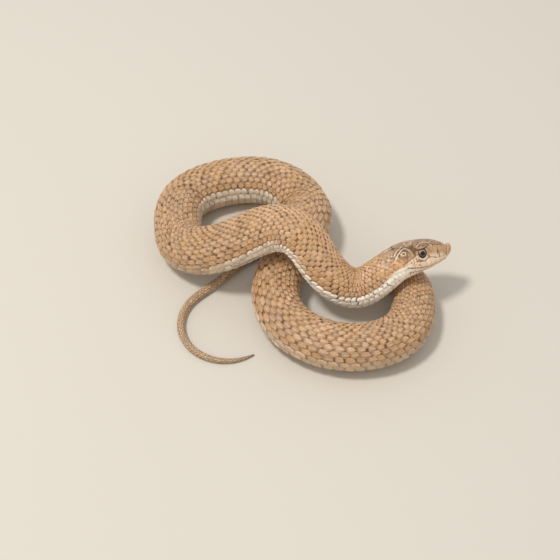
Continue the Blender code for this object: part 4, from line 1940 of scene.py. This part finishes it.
    def snout_shield(self, pattern: Pattern) -> tuple:
        """The shield that caps the snout, wrapped round its tip.

        Args:
            pattern: The disc of spokes and rings.

        Returns:
            Distance, angle, height and share from the middle of every point.
        """
        turn = np.arctan2(pattern.points[:, 1], pattern.points[:, 0])
        radius = np.hypot(pattern.points[:, 0], pattern.points[:, 1])
        reach = straight_reading(self.snout_edge, np.degrees(np.abs(turn)))
        along = self.form.tip + radius * (reach - self.form.tip)
        height = np.full(len(radius), -0.02)
        height = np.where(np.isclose(radius, 1.0, atol=0.01), -0.45, height)
        height = np.where(np.isclose(radius, self.rings[1], atol=0.01), -0.12, height)
        return along, turn, height, radius

    def nostril(self, pattern: Pattern, side: float) -> tuple:
        """The round pit between the nasal plates, with its raised rim.

        Args:
            pattern: The disc of spokes and rings.
            side: 1 on the left, -1 on the right.

        Returns:
            Distance, angle, height and share from the middle of every point.
        """
        middle, degrees = self.form.nostril
        girth = float(self.form.girth(np.array([middle]))[0])
        radius = np.hypot(pattern.points[:, 0], pattern.points[:, 1])
        along = middle + self.nostril_radius * pattern.points[:, 0]
        around = self.nostril_radius * pattern.points[:, 1]
        angle = side * math.radians(degrees) + around / girth
        height = straight_reading(self.nostril_profile, radius)
        return along, angle, height, np.full(len(radius), 0.3)

    def mental(self, pattern: Pattern) -> tuple:
        """The plate at the front of the lower jaw."""
        return self.web(pattern, self.front_jaw, self.front_dome)

    def finish(self, label: str, slot: str, finish: Material, pattern: Pattern,
               webs: tuple, dice: np.random.Generator) -> Object:
        """Join the plates of one piece and store what its finish reads.

        Args:
            label: The piece's name.
            slot: Not used.
            finish: Its material.
            pattern: The disc of spokes and rings.
            webs: Distances, angles, heights and shares of its points.
            dice: The source of chance.

        Returns:
            The piece.
        """
        along, angle, height, share = webs
        places = self.form.place(along, angle, height)
        piece = pattern.joined(label, places)
        mesh = piece.data
        shape = along.shape
        tone = 0.35 + 0.3 * dice.random(shape[0])
        shift = dice.random(shape[0])
        self.marks.paint(mesh, along.ravel(), angle.ravel())
        for key, values in (
            ("tone", tone[:, None]), ("shift", shift[:, None]), ("rim", share), ("back", 0.6),
            ("across", 1.0), ("gap", 0.5),
        ):
            store(mesh, key, np.broadcast_to(values, shape))
        root_along, root_angle = along.mean(axis=1), angle.mean(axis=1)
        spread = pattern.points[:, :2] / 2.0 * self.patch
        u = (root_along[:, None] + self.map_margin) / self.map_length + spread[:, 0]
        v = 0.5 + root_angle[:, None] / (2.0 * math.pi) * 0.96 + spread[:, 1]
        bake_layer(mesh, u, v)
        mesh.shade_smooth()
        mesh.materials.append(finish)
        return adopt(piece, label)


# ---------------------------------------------------------------- eyes
@dataclass
class Eyes:
    """Both eyeballs, set in the openings of the skin."""

    form: Form
    segments: int = 48
    rings: int = 32

    def build(self, finish: Material) -> list:
        """Make the left and the right eye.

        Args:
            finish: Their material.

        Returns:
            Two pieces.
        """
        eye = self.form.eye
        tilt = math.radians(eye.tilt)
        _, forward, left, up = self.form.skull()
        pieces = []
        for name, side in (("eye_left", 1.0), ("eye_right", -1.0)):
            deselect_all()
            bpy.ops.mesh.primitive_uv_sphere_add(
                segments=self.segments, ring_count=self.rings, radius=eye.ball)
            ball = bpy.context.object
            local = points_of(ball.data)
            reach = np.hypot(local[:, 0], local[:, 1])
            cap = local[:, 2] > 0.0
            store(ball.data, "reach", np.where(cap, reach, eye.ball))
            # height across the ball, which sets the painted reflection on the upper iris
            store(ball.data, "over", local[:, 1])
            place = self.form.in_skull(eye.along, side * eye.out, eye.up + eye.raised)
            gaze = left * (side * math.cos(tilt)) + up * math.sin(tilt)
            brow = np.cross(forward, gaze) * side
            turned = forward * local[:, :1] + brow * local[:, 1:2] + gaze * local[:, 2:]
            world = (place + turned) * MM + self.form.offset
            ball.data.vertices.foreach_set("co", world.ravel())
            bpy.ops.object.mode_set(mode="EDIT")
            turn_outwards()
            ball.data.shade_smooth()
            ball.data.materials.append(finish)
            pieces.append(adopt(ball, name + "_wet"))
            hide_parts(name)
        return pieces


# ---------------------------------------------------------------- the studio
@dataclass
class Studio:
    """Pale floor, soft light and the camera."""

    aim: tuple = (-0.0097, -0.0045, 0.0)
    elevation: float = 50.0
    distance: float = 0.6959
    lens: float = 85.0
    sensor: float = 36.0
    floor_size: float = 6.0
    floor_colour: tuple = (0.62, 0.58, 0.52, 1.0)
    lamp_place: tuple = (-0.45, -0.16, 1.26)
    lamp_size: float = 0.24
    lamp_power: float = 10.5
    lamp_colour: tuple = (1.0, 0.975, 0.93)
    sky_colour: tuple = (1.0, 0.985, 0.955, 1.0)
    sky_strength: float = 0.72

    def floor(self) -> None:
        """A plain pale floor under the animal."""
        deselect_all()
        bpy.ops.mesh.primitive_plane_add(size=self.floor_size, location=(0.0, 0.0, 0.0))
        floor = bpy.context.object
        floor.name = "studio_floor"
        made = bpy.data.materials.new("studio_floor")
        made.use_nodes = True
        shader = made.node_tree.nodes["Principled BSDF"]
        shader.inputs["Base Color"].default_value = self.floor_colour
        shader.inputs["Roughness"].default_value = 0.9
        shader.inputs["Specular IOR Level"].default_value = 0.1
        floor.data.materials.append(made)

    def lamp(self) -> None:
        """One high soft lamp, aimed at the animal."""
        bpy.ops.object.light_add(type="AREA", location=self.lamp_place)
        lamp = bpy.context.object
        lamp.name = "key_lamp"
        lamp.data.shape = "DISK"
        lamp.data.size = self.lamp_size
        lamp.data.energy = self.lamp_power
        lamp.data.color = self.lamp_colour
        lamp.rotation_euler = (-Vector(self.lamp_place)).to_track_quat("-Z", "Y").to_euler()

    def sky(self) -> None:
        """An even, slightly warm sky."""
        world = bpy.data.worlds.new("soft_sky")
        world.use_nodes = True
        sky = world.node_tree.nodes["Background"]
        sky.inputs["Color"].default_value = self.sky_colour
        sky.inputs["Strength"].default_value = self.sky_strength
        bpy.context.scene.world = world
        bpy.context.scene.view_settings.view_transform = "Standard"

    def camera(self) -> None:
        """The camera, looking down on the coils."""
        tilt = math.radians(self.elevation)
        away = Vector((0.0, -math.cos(tilt), math.sin(tilt))) * self.distance
        bpy.ops.object.camera_add(
            location=Vector(self.aim) + away, rotation=(math.pi / 2.0 - tilt, 0.0, 0.0))
        camera = bpy.context.object
        camera.data.lens = self.lens
        camera.data.sensor_width = self.sensor
        camera.data.clip_start = 0.01
        bpy.context.scene.camera = camera


def main() -> None:
    """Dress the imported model, piece by piece."""
    logging.basicConfig(level=logging.INFO, format="%(name)s: %(message)s")
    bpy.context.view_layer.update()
    route = Route()
    form = Form(route)
    form.settle("eye_left")
    marks = Markings(form)
    hues = Hues()
    colours, horn = hide_colour_group(hues), horn_grain_group()
    lines = head_lines_group(marks.lines, stroke_group())
    # the bare skin is painted dark where it shows between scales and plates: partly its own darker
    # colour, partly painted shade in those gaps
    bare = HideFinish("bare_skin", roughness=0.6, seat=0.7).build(colours, horn, hues)
    keeled = HideFinish(
        "keeled_scales", roughness=0.44, seat=1.0, tip=0.4, keel=0.36, rim=0.15, core=0.75,
        side=0.55).build(colours, horn, hues)
    lined = HideFinish(
        "nape_scales", roughness=0.44, seat=0.9, tip=0.4, keel=0.3, rim=0.12, core=0.6,
        side=0.4).build(colours, horn, hues, lines)
    smooth = HideFinish(
        "smooth_scutes", roughness=0.42, seat=0.6, rim=0.2).build(colours, horn, hues)
    plates = HideFinish(
        "head_plates", roughness=0.42, rim=0.1, joint=0.26).build(colours, horn, hues, lines)
    skin = Skin(form)
    hide = skin.build(bare, marks)
    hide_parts(*[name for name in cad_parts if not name.startswith("eye_")])
    coat = Coat(form, skin, ScaleRows(), marks)
    coat.back_scales(keeled, lined)
    coat.belly_scutes(smooth)
    coat.tail_scutes(smooth)
    coat.throat_scales(smooth)
    HeadPlates(form, skin, marks).build(plates, smooth)
    Eyes(form).build(EyeFinish().build())
    studio = Studio()
    studio.floor()
    studio.lamp()
    studio.sky()
    studio.camera()
    bpy.context.view_layer.update()


if __name__ == "__main__":
    main()
